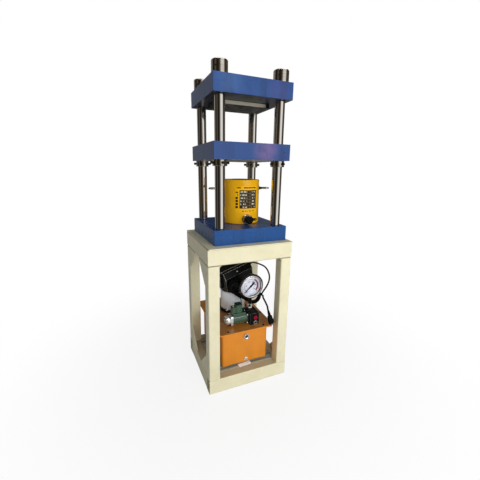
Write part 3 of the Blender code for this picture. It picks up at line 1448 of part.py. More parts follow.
def build_cords(root):
    box = box_matrix()
    gland_x, gland_y, gland_z = gland_place()
    face = gland_x + GLAND_NUT_HEIGHT + GLAND_DOME_HEIGHT + SEAT_GAP
    start = [box @ Vector((face, gland_y, gland_z)), box @ Vector((face + CORD_STUB, gland_y, gland_z))]
    end, before = hank_exit(CORD_IN_ANGLE)
    cord("power_cord", root, RUBBER, start + list(CORD_ROUTE_IN) + [before, end], CORD_DIAMETER, CORD_SPACING)
    build_hank(root)

    plug = plug_matrix()
    boot_top = BOOT_LENGTH
    finish = [plug @ Vector((0, 0, boot_top + CORD_STUB)), plug @ Vector((0, 0, boot_top + SEAT_GAP))]
    start, after = hank_exit(CORD_OUT_ANGLE)
    route = [start, after] + list(CORD_ROUTE_OUT) + finish
    cord("cord_tail", root, RUBBER, route, CORD_DIAMETER, CORD_SPACING)
    build_plug(root)

    deck = LID_TOP + SEAT_GAP + SOLENOID_HEIGHT + COIL_DIAMETER / 2 + SADDLE_BLOCK_HEIGHT
    entry_x = MANIFOLD_X - MANIFOLD_WIDTH / 2 - LEAD_ENTRY
    entry_y = MANIFOLD_Y + LEAD_SIDE
    outlet = Vector((LEAD_BOX_X, LEAD_BOX_Y, -BOX_DROP - SEAT_GAP))
    route = [box @ outlet, box @ (outlet - Vector((0, 0, LEAD_SPACING)))]
    route += list(LEAD_ROUTE)
    route += [(entry_x, entry_y, deck + SEAT_GAP + LEAD_SPACING), (entry_x, entry_y, deck + SEAT_GAP)]
    cord("solenoid_lead", root, RUBBER, route, LEAD_DIAMETER, LEAD_SPACING)


def build_plug(root):
    place = plug_matrix()
    plug = empty("plug", root)
    plug.matrix_local = place
    tip = BOOT_TIP_DIAMETER / 2
    root_radius = BOOT_DIAMETER / 2
    profile = [(0, -PLUG_LENGTH / 4)]
    profile.append((root_radius, -PLUG_LENGTH / 4))
    for ring in range(BOOT_RINGS):
        low = BOOT_LENGTH * ring / BOOT_RINGS
        high = BOOT_LENGTH * (ring + 1) / BOOT_RINGS
        wide = root_radius + (tip - root_radius) * ring / BOOT_RINGS
        if ring:
            profile.append((wide, low))
        profile.append((wide, (low + high) / 2))
        profile += [(wide - BOOT_GROOVE, (low + high) / 2), (wide - BOOT_GROOVE, high)]
    profile.append((0, BOOT_LENGTH))
    boot = turned(profile, SMALL_SIDES)

    sections = []
    for width_share, height_share in zip(PLUG_WIDTH_SHARES, PLUG_HEIGHT_SHARES):
        width = PLUG_WIDTH * width_share
        thick = PLUG_THICKNESS * width_share
        sections.append((rounded_rectangle(width, thick, PLUG_CORNER * width_share), -PLUG_LENGTH * height_share))
    body = piece("plug_body", plug, BLACK, stacked(sections), smooth=True)
    parts = [boot]
    for side in (-1, 1):
        x = side * PIN_SPACING / 2
        thick = PIN_THICKNESS / 2
        wide = PIN_WIDTH / 2
        low = -PLUG_LENGTH - PIN_LENGTH
        high = PIN_SEAT - PLUG_LENGTH
        parts.append(block((x - thick, -wide, low), (x + thick, wide, high), PIN_THICKNESS / 4))
    join(body, gathered(parts))


def main():
    root = empty("press", None, 0, SHIFT_Y, 0)
    build_stand(root)
    head = build_head(root)
    build_jack(head)
    build_tank(root)
    deck = empty("deck", root, 0, 0, LID_TOP)
    bell = build_motor(deck)
    build_control_box(root, bell)
    build_manifold(deck)
    build_cords(root)


main()
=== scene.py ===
"""The four column hydraulic press: detailed pieces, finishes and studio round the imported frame."""

import math

import bmesh
import bpy
from bpy.props import FloatProperty, FloatVectorProperty, IntProperty, PointerProperty
from bpy.types import Operator, Panel, PropertyGroup
from mathutils import Matrix, Vector


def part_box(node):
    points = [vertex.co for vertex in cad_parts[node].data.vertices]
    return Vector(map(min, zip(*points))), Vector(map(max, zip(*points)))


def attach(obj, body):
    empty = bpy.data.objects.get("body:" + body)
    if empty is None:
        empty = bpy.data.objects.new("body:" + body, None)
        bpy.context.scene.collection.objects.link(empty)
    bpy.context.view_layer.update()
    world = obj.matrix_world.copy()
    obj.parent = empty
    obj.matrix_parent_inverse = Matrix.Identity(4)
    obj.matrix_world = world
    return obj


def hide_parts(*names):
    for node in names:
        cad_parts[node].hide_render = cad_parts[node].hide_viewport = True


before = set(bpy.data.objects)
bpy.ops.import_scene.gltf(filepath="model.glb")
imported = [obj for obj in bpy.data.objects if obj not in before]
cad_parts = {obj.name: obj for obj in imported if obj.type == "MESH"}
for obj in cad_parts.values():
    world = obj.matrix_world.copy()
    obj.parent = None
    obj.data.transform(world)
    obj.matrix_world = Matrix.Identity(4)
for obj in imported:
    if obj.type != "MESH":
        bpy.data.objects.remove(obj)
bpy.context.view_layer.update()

bl_info = {
    "name": "Hydraulic press",
    "version": (1, 0, 0),
    "blender": (4, 5, 0),
    "location": "3D View > Sidebar > Press",
    "description": "Builds the detailed pieces, finishes and studio of a four column hydraulic press",
    "category": "Object",
}

# Middle of the stand in the CAD frame
SHIFT = Vector((0.0, -0.01275, 0.0))

# Sides of round pieces, from the widest to the smallest
FINEST = 128
FINE = 96
ROUND = 64
SMALL = 32

# Air left between pieces that seat
SEAT = 0.0003

CORNERS = {
    "front_left": (-1, -1),
    "front_right": (1, -1),
    "back_right": (1, 1),
    "back_left": (-1, 1),
}


def linear(code):
    """A hex colour as linear light."""
    parts = [int(code[index:index + 2], 16) / 255 for index in (1, 3, 5)]
    return tuple(part / 12.92 if part <= 0.04045 else ((part + 0.055) / 1.055) ** 2.4 for part in parts)


# Settings

def tint(name, description, code):
    return FloatVectorProperty(
        name=name, description=description, subtype="COLOR", size=3, min=0, max=1, default=linear(code),
    )


def length(name, description, metres, least=0.0):
    return FloatProperty(name=name, description=description, default=metres, min=least, unit="LENGTH")


def power(name, description, watts):
    return FloatProperty(name=name, description=description, default=watts, min=0, unit="POWER")


class PressPaint(PropertyGroup):
    cream: tint("Cream", "Enamel of the stand", "#E4DEBE")
    blue: tint("Blue", "Paint of the three head plates", "#2A4C86")
    yellow: tint("Yellow", "Paint of the jack", "#EAAE0C")
    orange: tint("Orange", "Paint of the oil tank", "#DA8722")
    green: tint("Green", "Moulding of the valve coil", "#143F27")
    red: tint("Red", "Port plug and the dial's arc", "#8C1029")
    black: tint("Black", "Mouldings and cast covers", "#08090A")


class PressSizes(PropertyGroup):
    edge: length("Edge", "Rounding of machined edges", 0.0012)
    cord: length("Cord", "Diameter of the power cord", 0.0098, 0.004)
    lead: length("Lead", "Diameter of the valve's lead", 0.005, 0.002)
    ticks: IntProperty(name="Ticks", description="Divisions of the gauge's scale", default=50, min=10)


class PressStudio(PropertyGroup):
    lens: FloatProperty(name="Lens", description="Focal length in millimetres", default=20.9194, min=5)
    key: power("Key lamp", "Power of the lamp at the front", 62)
    fill: power("Fill lamp", "Power of the lamp on the left", 1)
    back: power("Back lamp", "Power of the lamp behind", 14)
    sky: FloatProperty(name="Room light", description="Strength of the light all round", default=0.30, min=0)
    floor: tint("Floor", "Pale floor under the press", "#DEDEDC")


# Shader maths

class Value:
    """A socket that takes part in Python expressions; each step adds a Math node."""

    def __init__(self, look, socket):
        self.look = look
        self.socket = socket

    def __add__(self, other):
        return self.look.maths("ADD", self, other)

    def __sub__(self, other):
        return self.look.maths("SUBTRACT", self, other)

    def __rsub__(self, other):
        return self.look.maths("SUBTRACT", other, self)

    def __mul__(self, other):
        return self.look.maths("MULTIPLY", self, other)

    def __truediv__(self, other):
        return self.look.maths("DIVIDE", self, other)

    def __gt__(self, other):
        return self.look.maths("GREATER_THAN", self, other)

    def __lt__(self, other):
        return self.look.maths("LESS_THAN", self, other)

    __radd__ = __add__
    __rmul__ = __mul__

    def clamped(self):
        return self.look.maths("MAXIMUM", self.look.maths("MINIMUM", self, 1), 0)

    def steep(self, low, high):
        """Smooth step from 0 at low to 1 at high."""
        settings = {"interpolation_type": "SMOOTHSTEP"}
        sockets = {"Value": self, "From Min": low, "From Max": high}
        return self.look.node("MapRange", settings, sockets)


class Look:
    """One procedural material and the nodes that it is made of."""

    def __init__(self, name, tree=None):
        if tree is None:
            self.material = bpy.data.materials.new(name)
            self.material.use_nodes = True
            tree = self.material.node_tree
        self.tree = tree
        self.shader = tree.nodes.get("Principled BSDF")

    def feed(self, socket, value):
        if isinstance(value, str):
            value = linear(value)
        if isinstance(value, Value):
            self.tree.links.new(value.socket, socket)
        elif isinstance(value, (tuple, list)) and len(socket.default_value) == 4:
            socket.default_value = (*value[:3], 1)
        else:
            socket.default_value = value

    def node(self, kind, settings=None, sockets=None, output=0):
        made = self.tree.nodes.new("ShaderNode" + kind)
        for name, value in (settings or {}).items():
            if name == "stops":
                self.ramp(made.color_ramp, value)
            else:
                setattr(made, name, value)
        for name, value in (sockets or {}).items():
            self.feed(made.inputs[name], value)
        return Value(self, made.outputs[output])

    def ramp(self, ramp, stops):
        ramp.elements[0].position = stops[0][0]
        ramp.elements[1].position = stops[-1][0]
        for position, _ in stops[1:-1]:
            ramp.elements.new(position)
        for element, (_, color) in zip(ramp.elements, stops):
            element.color = (*color, 1)

    def maths(self, operation, first, second):
        return self.node("Math", {"operation": operation}, {0: first, 1: second})

    def mix(self, share, first, second):
        return self.node("Mix", {"data_type": "RGBA"}, {0: share, 6: first, 7: second}, output=2)

    def part(self, vector, axis):
        return self.node("SeparateXYZ", {}, {"Vector": vector}, output=axis)

    def measure(self, operation, first, second=(0, 0, 0)):
        """A single value taken from two vectors, such as a distance."""
        return self.node("VectorMath", {"operation": operation}, {0: first, 1: second}, output="Value")

    def place(self, scale=(1, 1, 1), turn=(0, 0, 0)):
        """Object coordinates, stretched or turned by a Mapping node."""
        point = self.node("TexCoord", output="Object")
        turn = [math.radians(angle) for angle in turn]
        return self.node("Mapping", {}, {"Vector": point, "Rotation": turn, "Scale": scale})

    def noise(self, scale, detail=3.0, roughness=0.55, place=None, distortion=0.0):
        sockets = {"Scale": scale, "Detail": detail, "Roughness": roughness, "Distortion": distortion}
        sockets["Vector"] = place or self.place()
        return self.node("TexNoise", {}, sockets)

    def edges(self, radius, low=0.02, high=0.30):
        """1 along sharp edges of the shape, 0 on its flats."""
        round_normal = self.node("Bevel", {"samples": 4}, {"Radius": radius})
        true_normal = self.node("NewGeometry", output="True Normal")
        return (1 - self.measure("DOT_PRODUCT", round_normal, true_normal)).steep(low, high)

    def upward(self, way=1, axis="Z"):
        """1 on faces that look up, or along another axis or down when way is -1; 0 on the rest."""
        normal = self.node("NewGeometry", output="True Normal")
        return (self.part(normal, axis) * way).steep(0.6, 0.9)

    def bump(self, height, distance, strength=1.0, soft=None):
        sockets = {"Height": height, "Distance": distance, "Strength": strength}
        if soft:
            sockets["Normal"] = self.node("Bevel", {"samples": 4}, {"Radius": soft})
        self.feed(self.shader.inputs["Normal"], self.node("Bump", {}, sockets))

    def set(self, **values):
        for name, value in values.items():
            self.feed(self.shader.inputs[name.replace("_", " ").title().replace("Ior", "IOR")], value)
        return self.material


def shade(color, factor):
    """A colour, given as linear light or as a hex code, made darker or paler."""
    if isinstance(color, str):
        color = linear(color)
    return tuple(part * factor for part in color)


def enamel(
    name, color, dirt, gloss, blotch=None, blotch_share=0.0, wear=None, soft=None, top=None, under=None,
    shine=0.5, streaks=0.0, grain=(1, 1, 0.06), seams=(), patches=(),
):
    """Sprayed paint: blotches, runs, specks of dirt, grimy seams, orange peel and wear along the edges, with
    round spots of painted reflection and painted shadow, a painted dark reflection with some grime on faces
    that look up, and a separate colour on faces that look down.
    """
    look = Look(name)
    slow = look.noise(4.5, 3, 0.6, distortion=0.4)
    cloud = look.noise(17, 4, 0.65)
    speck = look.noise(210, 2, 0.5)
    tone = look.mix(cloud.steep(0.35, 0.75) * 0.5, color, shade(color, 0.86))
    if blotch:
        tone = look.mix(slow.steep(0.46, 0.72) * blotch_share, tone, blotch)
    if streaks:
        runs = look.noise(26, 3, 0.5, look.place(grain))
        tone = look.mix(runs.steep(0.42, 0.70) * streaks, tone, dirt)
    # Round spots of painted light at given places: painted reflections and painted shadows.
    for place, radius, share, stain_and_painted_light in patches:
        away = look.measure("DISTANCE", look.place(), place)
        near = (1 - (away + 0.03 * slow).steep(radius * 0.3, radius)) * cloud.steep(0.15, 0.55)
        tone = look.mix(near * share, tone, stain_and_painted_light)
    # Faces that look up take the top colour: a painted dark reflection, with some grime.
    if top:
        top_reflection_and_grime = look.upward() * (0.45 + 0.45 * cloud.steep(0.3, 0.7))
        tone = look.mix(top_reflection_and_grime, tone, top)
    # Faces that look down take the under colour: pale grey under the platen, near-black under the crown.
    if under:
        facing_down = look.upward(-1) * (0.72 + 0.28 * cloud.steep(0.35, 0.6))
        tone = look.mix(facing_down, tone, under)
    stain_and_painted_light = speck.steep(0.66, 0.82) * cloud.steep(0.42, 0.66)
    tone = look.mix(stain_and_painted_light * 0.55, tone, dirt)
    height = look.part(look.place(), "Z")
    for seam in seams:
        gap = 1 - look.maths("ABSOLUTE", height - seam, 0).steep(0.0007, 0.0016)
        tone = look.mix(gap * 0.5, tone, shade(dirt, 0.5))
    rough = gloss + 0.12 * cloud + 0.10 * stain_and_painted_light
    if wear:
        chips = look.edges(0.0011) * look.noise(90, 4, 0.7).steep(0.52, 0.64)
        tone = look.mix(chips * 0.75, tone, wear)
        rough = rough + 0.15 * chips
    peel = look.noise(620, 1, 0.4)
    look.bump(peel * 0.5 + slow * 2.2, 0.0004, 0.35, soft)
    return look.set(base_color=tone, roughness=rough, specular_ior_level=shine)


def steel(
    name, color, dark, rough, scale, streak=(1, 1, 0.02), stain_and_painted_light=None, relief=0.00012, metal=1.0, wave=0.5,
):
    """Bare or plated metal with fine drawn streaks, patches worn by rubbing, and stains."""
    look = Look(name)
    drawn = look.noise(scale, 3, 0.6, look.place(streak))
    cloud = look.noise(22, 4, 0.6, distortion=0.6)
    tone = look.mix(drawn.steep(0.3, 0.8) * 0.6, color, dark)
    if stain_and_painted_light:
        tone = look.mix(cloud.steep(0.50, 0.72) * 0.7, tone, stain_and_painted_light)
    rubbed = rough + wave * (0.10 * cloud + 0.08 * drawn)
    look.bump(drawn * 0.6 + cloud * 0.5, relief, 0.3)
    return look.set(base_color=tone, roughness=rubbed, metallic=metal)


def moulding(
    name, color, rough, grain=900, coat=0.0, pale=None, dusty=0.04, shine=0.5, rubbed=None, rim=0.0034,
):
    """Moulded plastic, rubber or sprayed casting with a fine grain, a pale bloom, and edges lightened partly
    by wear and partly by a painted highlight.
    """
    look = Look(name)
    fine = look.noise(grain, 2, 0.5)
    cloud = look.noise(14, 4, 0.6, distortion=0.3)
    tone = look.mix(cloud.steep(0.4, 0.75) * 0.6, color, pale or shade(color, 1.7))
    dust = look.noise(160, 3, 0.6).steep(0.62, 0.8) * cloud.steep(0.45, 0.7)
    tone = look.mix(dust * dusty, tone, "#8F8A80")
    # Edge colour along edges and creases: partly wear, partly a painted highlight.
    if rubbed:
        worn = look.edges(rim, 0.004, 0.06) * (0.45 + 0.55 * cloud)
        tone = look.mix((worn * 1.4).clamped(), tone, rubbed)
    look.bump(fine, 0.00025, 0.35)
    rough = rough + 0.16 * cloud + 0.1 * dust
    return look.set(base_color=tone, roughness=rough, coat_weight=coat, specular_ior_level=shine)


def mottled(name):
    """Flame cut plate worn by rubbing: dark scale broken by worn bright patches, with painted light on the
    faces that look to the front.
    """
    look = Look(name)
    scale = look.noise(34, 5, 0.7, distortion=1.2)
    fine = look.noise(240, 3, 0.6)
    tone = look.mix(scale.steep(0.38, 0.62), "#3E3C39", "#827E75")
    tone = look.mix(fine.steep(0.55, 0.8) * 0.5, tone, "#2C2A28")
    # Faces that look to the front are painted pale and less metallic: a painted light band.
    painted_front_light = look.upward(-1, "Y") * (0.7 + 0.3 * fine)
    tone = look.mix(painted_front_light, tone, "#AEA896")
    look.bump(scale * 0.8 + fine * 0.3, 0.0004, 0.6)
    return look.set(base_color=tone, roughness=0.42 + 0.2 * scale, metallic=0.75 - 0.6 * painted_front_light)


def printed_label(name, ground, ink, paper):
    """Blank data table printed on paint: dark panel with ruled rows of short bars, and bars round it."""
    look = Look(name)
    spot = look.node("TexCoord", output="UV")
    u = look.part(spot, "X")
    v = look.part(spot, "Y")
    panel = (u > 0.172) * (u < 0.971) * (v > 0.152) * (v < 0.855)
    rise = (v - 0.152) * (6 / 0.703)
    row = look.maths("FRACT", rise, 0)
    lane = look.maths("FLOOR", rise, 0)
    cell = look.noise(1, 0, 0.5, look.node("CombineXYZ", {}, {"X": u * 26, "Y": lane * 7.3, "Z": 0.5}))
    bars = (row > 0.30) * (row < 0.64) * (cell > 0.49)
    left = (u > 0.205) * (u < 0.50) * bars
    right = (u > 0.73) * (u < 0.90) * bars
    rules = (row < 0.05) + (look.maths("ABSOLUTE", u - 0.64, 0) < 0.004)
    white = (left + right + rules * 0.35).clamped() * panel
    side = (u < 0.115) * (u > 0.02) * (v > 0.15) * (v < 0.80) * (row > 0.12) * (row < 0.88) * (cell > 0.30)
    head = (v > 0.925) * (v < 0.968) * (u > 0.04) * (u < 0.94) * (cell > 0.40)
    foot = (v > 0.035) * (v < 0.07) * (u > 0.09) * (u < 0.90) * (cell > 0.47)
    dark = (panel + side + head + foot).clamped()
    fade = look.noise(60, 3, 0.6)
    tone = look.mix(dark * (0.94 + 0.06 * fade), ground, ink)
    tone = look.mix(white * (0.7 + 0.3 * fade), tone, paper)
    look.bump(dark * 0.6 + fade * 0.4, 0.00008, 0.4)
    return look.set(base_color=tone, roughness=0.26 + 0.14 * dark + 0.08 * fade, specular_ior_level=0.25)


def glazing(name):
    """Clear window glass with faint wiping marks."""
    look = Look(name)
    wiped = look.noise(40, 4, 0.7, look.place((1, 1, 0.3), (0, 40, 0)))
    return look.set(
        base_color="#FAFCFC", roughness=0.02 * wiped.steep(0.5, 0.8), ior=1.12, transmission_weight=1.0,
    )


def dial_card(name):
    """Off white dial card with a faint lilac cast and fine tooth."""
    look = Look(name)
    tooth = look.noise(420, 2, 0.5)
    cloud = look.noise(30, 3, 0.6)
    tone = look.mix(cloud.steep(0.3, 0.8), "#D6D5E0", "#BDBCCC")
    look.bump(tooth, 0.0001, 0.3)
    return look.set(base_color=tone, roughness=0.42 + 0.12 * tooth)


def ink(name, color, rough=0.45):
    """Printed or enamelled line colour with slightly uneven cover."""
    look = Look(name)
    cover = look.noise(300, 3, 0.6)
    tone = look.mix(cover * 0.35, color, shade(color, 1.35))
    look.bump(cover, 0.00005, 0.4)
    return look.set(base_color=tone, roughness=rough + 0.15 * cover)


LOOKS = {}
SEAMS = (0.0851, 0.7264, 0.8111)
# Spots on the platen's front: a painted reflection, and a painted shadow below the button.
PLATEN_PAINTED_LIGHT = (
    ((0.078, -0.203, 1.272), 0.105, 0.42, "#8F6C98"),
    ((0.175, -0.203, 1.245), 0.060, 0.35, "#22305C"),
)
# Spots on the crown's front: two painted reflections.
CROWN_PAINTED_REFLECTIONS = (
    ((0.130, -0.203, 1.535), 0.100, 0.30, "#55508A"),
    ((-0.120, -0.203, 1.560), 0.120, 0.35, "#4C70AA"),
)


def looks():
    """All the finishes, made once."""
    if LOOKS:
        return LOOKS
    paint = bpy.context.scene.press_paint
    cream, blue = tuple(paint.cream), tuple(paint.blue)
    deep = (blue[0] * 0.45, blue[1] * 0.95, blue[2])
    yellow, orange = tuple(paint.yellow), tuple(paint.orange)
    green, red, black = tuple(paint.green), tuple(paint.red), tuple(paint.black)
    LOOKS.update({
        "cream": enamel(
            "cream_enamel", cream, "#8A7A58", 0.26, "#D6CDA6", 0.45, "#9C9276", 0.0012,
            seams=SEAMS,
        ),
        "shelf": enamel(
            "shelf_enamel", "#A6AA9B", "#45463E", 0.16, "#868C81", 0.7, None, 0.001,
            streaks=0.75, grain=(0.05, 2.5, 1),
        ),
        "deep_blue": enamel(
            "base_blue_paint", deep, "#12233F", 0.22, "#17457F", 0.4, "#7F8CA8",
            shine=0.3, streaks=0.25,
        ),
        "blue": enamel(
            "platen_blue_paint", shade(blue, 0.86), "#1B2A4C", 0.24, "#34427A", 0.35, "#7F8CA8",
            under="#A9A7A0", shine=0.35, streaks=0.30, patches=PLATEN_PAINTED_LIGHT,
        ),
        "crown_blue": enamel(
            "crown_blue_paint", shade(blue, 0.90), "#1A2234", 0.24, "#3D5C94", 0.35,
            "#7F8CA8", under="#26292C", shine=0.3, streaks=0.40, patches=CROWN_PAINTED_REFLECTIONS,
        ),
        "yellow": enamel(
            "yellow_paint", yellow, "#6E4A08", 0.18, "#C98F0C", 0.5, "#8D6A20", streaks=0.08,
        ),
        # The top colour paints a dark reflection, with some grime, on faces that look up, such as the lid's
        # top.
        "orange": enamel(
            "orange_paint", orange, "#5B3612", 0.26, "#C07A1C", 0.45, "#8A5A26",
            top="#86592C",
        ),
        "chrome": steel(
            "hard_chrome", "#D9D6D0", "#C4BFB6", 0.02, 120, (1, 1, 0.01), relief=0.00002, wave=0.35,
        ),
        "turned": steel(
            "turned_steel", "#CFC9BF", "#8E8579", 0.06, 200, (0.03, 0.03, 1), "#A69C8F",
            0.00004, wave=0.6,
        ),
        "plated": steel(
            "bright_plate", "#F0F0EE", "#C9C9C6", 0.07, 260, (1, 1, 1), relief=0.00003, wave=0.4,
        ),
        "bright_cast": steel(
            "bright_casting", "#F2F2F2", "#B4B6BC", 0.12, 200, (1, 1, 1), relief=0.00008, wave=0.5,
            metal=0.75,
        ),
        "pin_brass": steel("pin_brass", "#6E5020", "#3A2A10", 0.40, 300, (1, 1, 1), metal=0.3),
        "zinc": steel("zinc_plate", "#E4E4E4", "#B4B4B2", 0.18, 320, (1, 1, 1), metal=0.6),
        "brass": steel("brass", "#C9A052", "#8A6628", 0.22, 300, (1, 1, 1)),
        "oxide": steel(
            "black_oxide", "#242321", "#121110", 0.26, 240, (1, 1, 1), "#33302B", metal=0.7,
        ),
        "alloy": steel(
            "cast_alloy", "#FAFCFF", "#DCE2EE", 0.16, 90, (1, 1, 0.05), "#CBD6EC", metal=0.18,
        ),
        "raw": mottled("rubbed_plate"),
        "green": moulding("green_moulding", green, 0.08, 700, 1.0, shade(green, 1.5)),
        "dark_green": moulding("dark_green_moulding", shade(green, 0.45), 0.16, 700, 0.4),
        # On these two the edge colour is partly wear, partly a painted highlight on edges and creases.
        "black": moulding("black_moulding", black, 0.14, 1100, dusty=0.01, shine=0.12, rubbed="#CFCCC5"),
        "cast_black": moulding(
            "black_casting", black, 0.26, 420, dusty=0.012, shine=0.12, rubbed="#7A7873", rim=0.0018,
        ),
        "rubber": moulding("black_rubber", shade(black, 0.45), 0.38, 800, shine=0.12, pale=shade(black, 0.8)),
        "red": moulding("red_moulding", red, 0.36, 900, 0.0, shade(red, 1.3), dusty=0.01, shine=0.2),
        "white": moulding("white_nylon", "#E9E8E2", 0.40, 900, 0.0, "#D8D6CC"),
        "card": dial_card("dial_card"),
        "glass": glazing("gauge_glass"),
        "label": printed_label("jack_data_table", yellow, "#15120C", "#E9E2CC"),
        "tag": moulding("blank_tag", "#FFFFFF", 0.5, 500, 0.0, "#FAFAFA", dusty=0.0),
        "dark_ink": ink("dark_ink", "#0C0C14"),
        "violet_ink": ink("violet_ink", "#77668F"),
        "red_ink": ink("red_ink", "#7E1C34"),
        # Near-black for the floors of holes and behind the sight glass window: painted shade.
        "painted_shade": ink("socket_shadow", "#070707", 0.7),
        "needle": ink("needle_black", "#050506", 0.6),
    })
    return LOOKS


# Modelling by hand

def clear():
    if bpy.context.mode != "OBJECT":
        bpy.ops.object.mode_set(mode="OBJECT")
    bpy.ops.object.select_all(action="DESELECT")


def active(piece):
    clear()
    piece.select_set(True)
    bpy.context.view_layer.objects.active = piece
    return piece


def opened(piece):
    """Make a piece active and open its mesh for editing."""
    active(piece)
    bpy.ops.object.mode_set(mode="EDIT")


def pick(kind, test):
    """In edit mode, select only the edges or faces that pass a test."""
    mesh = bpy.context.edit_object.data
    shape = bmesh.from_edit_mesh(mesh)
    for part in (*shape.faces, *shape.edges, *shape.verts):
        part.select_set(False)
    for part in getattr(shape, kind):
        if test(part):
            part.select_set(True)
    bmesh.update_edit_mesh(mesh)


def along(axis):
    """Test for edges that run along an axis."""
    return lambda edge: abs((edge.verts[1].co - edge.verts[0].co).normalized()[axis]) > 0.99


def closed_shape(name):
    """Merge what lies together, turn the faces outwards and leave edit mode."""
    bpy.ops.mesh.select_all(action="SELECT")
    bpy.ops.mesh.remove_doubles(threshold=1e-6)
    bpy.ops.mesh.normals_make_consistent(inside=False)
    bpy.ops.object.mode_set(mode="OBJECT")
    piece = bpy.context.object
    piece.name = name
    return piece


def drawn_through(name, sections):
    """Extrude and scale the selected outline through (width, depth, height) sections."""
    width, depth, height = sections[0]
    bpy.ops.transform.resize(value=(width, depth, 1), center_override=(0, 0, 0))
    bpy.ops.transform.translate(value=(0, 0, height))
    for wide, deep, high in sections[1:]:
        bpy.ops.mesh.extrude_region_move(TRANSFORM_OT_translate={"value": (0, 0, high - height)})
        if (wide, deep) != (width, depth):
            bpy.ops.transform.resize(value=(wide / width, deep / depth, 1), center_override=(0, 0, high))
        width, depth, height = wide, deep, high
    return closed_shape(name)


def turned(name, steps, sides=ROUND, hollow=False):
    """Round piece about Z through (radius, height) steps; a hollow one closes on its first step."""
    clear()
    fill = "NOTHING" if hollow else "NGON"
    bpy.ops.mesh.primitive_circle_add(vertices=sides, radius=1, fill_type=fill, enter_editmode=True)
    if hollow:
        steps = [*steps, steps[0]]
    return drawn_through(name, [(radius, radius, height) for radius, height in steps])


def slab(name, sections, corner, segments=8):
    """Rectangle with round corners through (width, depth, height) sections."""
    clear()
    width, depth, _ = sections[0]
    bpy.ops.mesh.primitive_plane_add(size=1, enter_editmode=True)
    bpy.ops.transform.resize(value=(width, depth, 1), center_override=(0, 0, 0))
    bpy.ops.mesh.select_all(action="SELECT")
    bpy.ops.mesh.bevel(offset=corner, segments=segments, affect="VERTICES")
    bpy.ops.mesh.select_all(action="SELECT")
    bpy.ops.transform.resize(value=(1 / width, 1 / depth, 1), center_override=(0, 0, 0))
    return drawn_through(name, sections)


def block(name, low, high, round_axis=None, corner=0.0, segments=6):
    """Block between two corners, with the edges along one axis rounded off."""
    clear()
    ends = list(zip(low, high))
    low, high = Vector([min(pair) for pair in ends]), Vector([max(pair) for pair in ends])
    bpy.ops.mesh.primitive_cube_add(size=1, location=(low + high) / 2, scale=high - low)
    bpy.ops.object.transform_apply(location=True, rotation=True, scale=True)
    bpy.ops.object.mode_set(mode="EDIT")
    if round_axis is not None:
        pick("edges", along(round_axis))
        bpy.ops.mesh.bevel(offset=corner, segments=segments, affect="EDGES")
    return closed_shape(name)


def trimmed(piece, point, normal):
    """Cut off what lies beyond a plane and close the cut."""
    opened(piece)
    bpy.ops.mesh.select_all(action="SELECT")
    bpy.ops.mesh.bisect(plane_co=point, plane_no=normal, use_fill=True, clear_outer=True)
    return closed_shape(piece.name)


def modified(piece, kind, **settings):
    """Add a modifier with these settings and apply it."""
    active(piece)
    modifier = piece.modifiers.new(kind.title(), kind)
    for name, value in settings.items():
        setattr(modifier, name, value)
    bpy.ops.object.modifier_apply(modifier=modifier.name)
    return piece


def drilled(piece, tool):
    """Take the tool's shape out of the piece."""
    modified(piece, "BOOLEAN", operation="DIFFERENCE", object=tool, solver="EXACT")
    bpy.data.objects.remove(tool, do_unlink=True)
    return piece


def joined(name, parts):
    clear()
    for part in parts:
        part.select_set(True)
    bpy.context.view_layer.objects.active = parts[0]
    if len(parts) > 1:
        bpy.ops.object.join()
    parts[0].name = name
    return parts[0]


def moved(piece, place):
    """Put the piece at a place and keep that place in its mesh."""
    piece.data.transform(place @ piece.matrix_basis)
    piece.matrix_basis = Matrix.Identity(4)
    return piece


def copied(piece, name, place):
    double = piece.copy()
    double.data = piece.data.copy()
    double.name = name
    bpy.context.scene.collection.objects.link(double)
    return moved(double, place)


def softened(piece, edge, segments=3, angle=35):
    """Round the sharp edges and smooth the shading between them."""
    if edge:
        modified(
            piece, "BEVEL", width=edge, segments=segments, limit_method="ANGLE",
            angle_limit=math.radians(angle), harden_normals=False, use_clamp_overlap=True,
        )
    active(piece)
    bpy.ops.object.shade_smooth_by_angle(angle=math.radians(angle))
    modified(piece, "WEIGHTED_NORMAL", keep_sharp=True, weight=80)
    return piece


SLOTS = {
    "cream": "cream_paint", "shelf": "cream_paint", "yellow": "yellow_paint", "label": "yellow_paint",
    "blue": "blue_paint", "deep_blue": "blue_paint", "crown_blue": "blue_paint", "orange": "orange_paint",
    "plated": "polished_steel", "chrome": "polished_steel", "turned": "polished_steel",
    "zinc": "polished_steel", "bright_cast": "cast_aluminium", "alloy": "cast_aluminium",
    "oxide": "black_oxide", "raw": "raw_steel", "green": "green_moulding", "dark_green": "green_moulding",
    "black": "black_plastic", "cast_black": "black_plastic", "needle": "black_plastic",
    "rubber": "black_rubber", "red": "red_plastic", "white": "white_enamel", "card": "white_enamel",
    "glass": "clear_glass",
}


def finished(piece, look, stands_for=(), body="root", edge=0.0, place=None, segments=2, angle=35):
    """Round, place, paint and mount a piece; it stands for the CAD nodes that are named."""
    if piece.type == "MESH":
        softened(piece, edge, segments, angle)
    if place is not None:
        moved(piece, place)
    piece.data.materials.clear()
    piece.data.materials.append(looks()[look])
    look in SLOTS
    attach(piece, body)
    if stands_for:
        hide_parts(*stands_for)
    clear()
    return piece


def repainted(node, look):
    """Give a CAD node that keeps its shape a better finish."""
    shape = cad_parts[node]
    shape.data.materials.clear()
    shape.data.materials.append(looks()[look])


def at(x, y, z, turn=(0, 0, 0)):
    """Place in the stand's frame; turn is in degrees about X, Y and Z in that order."""
    place = Matrix.Translation(Vector((x, y, z)) + SHIFT)
    for angle, axis in zip(reversed(turn), "ZYX"):
        place = place @ Matrix.Rotation(math.radians(angle), 4, axis)
    return place


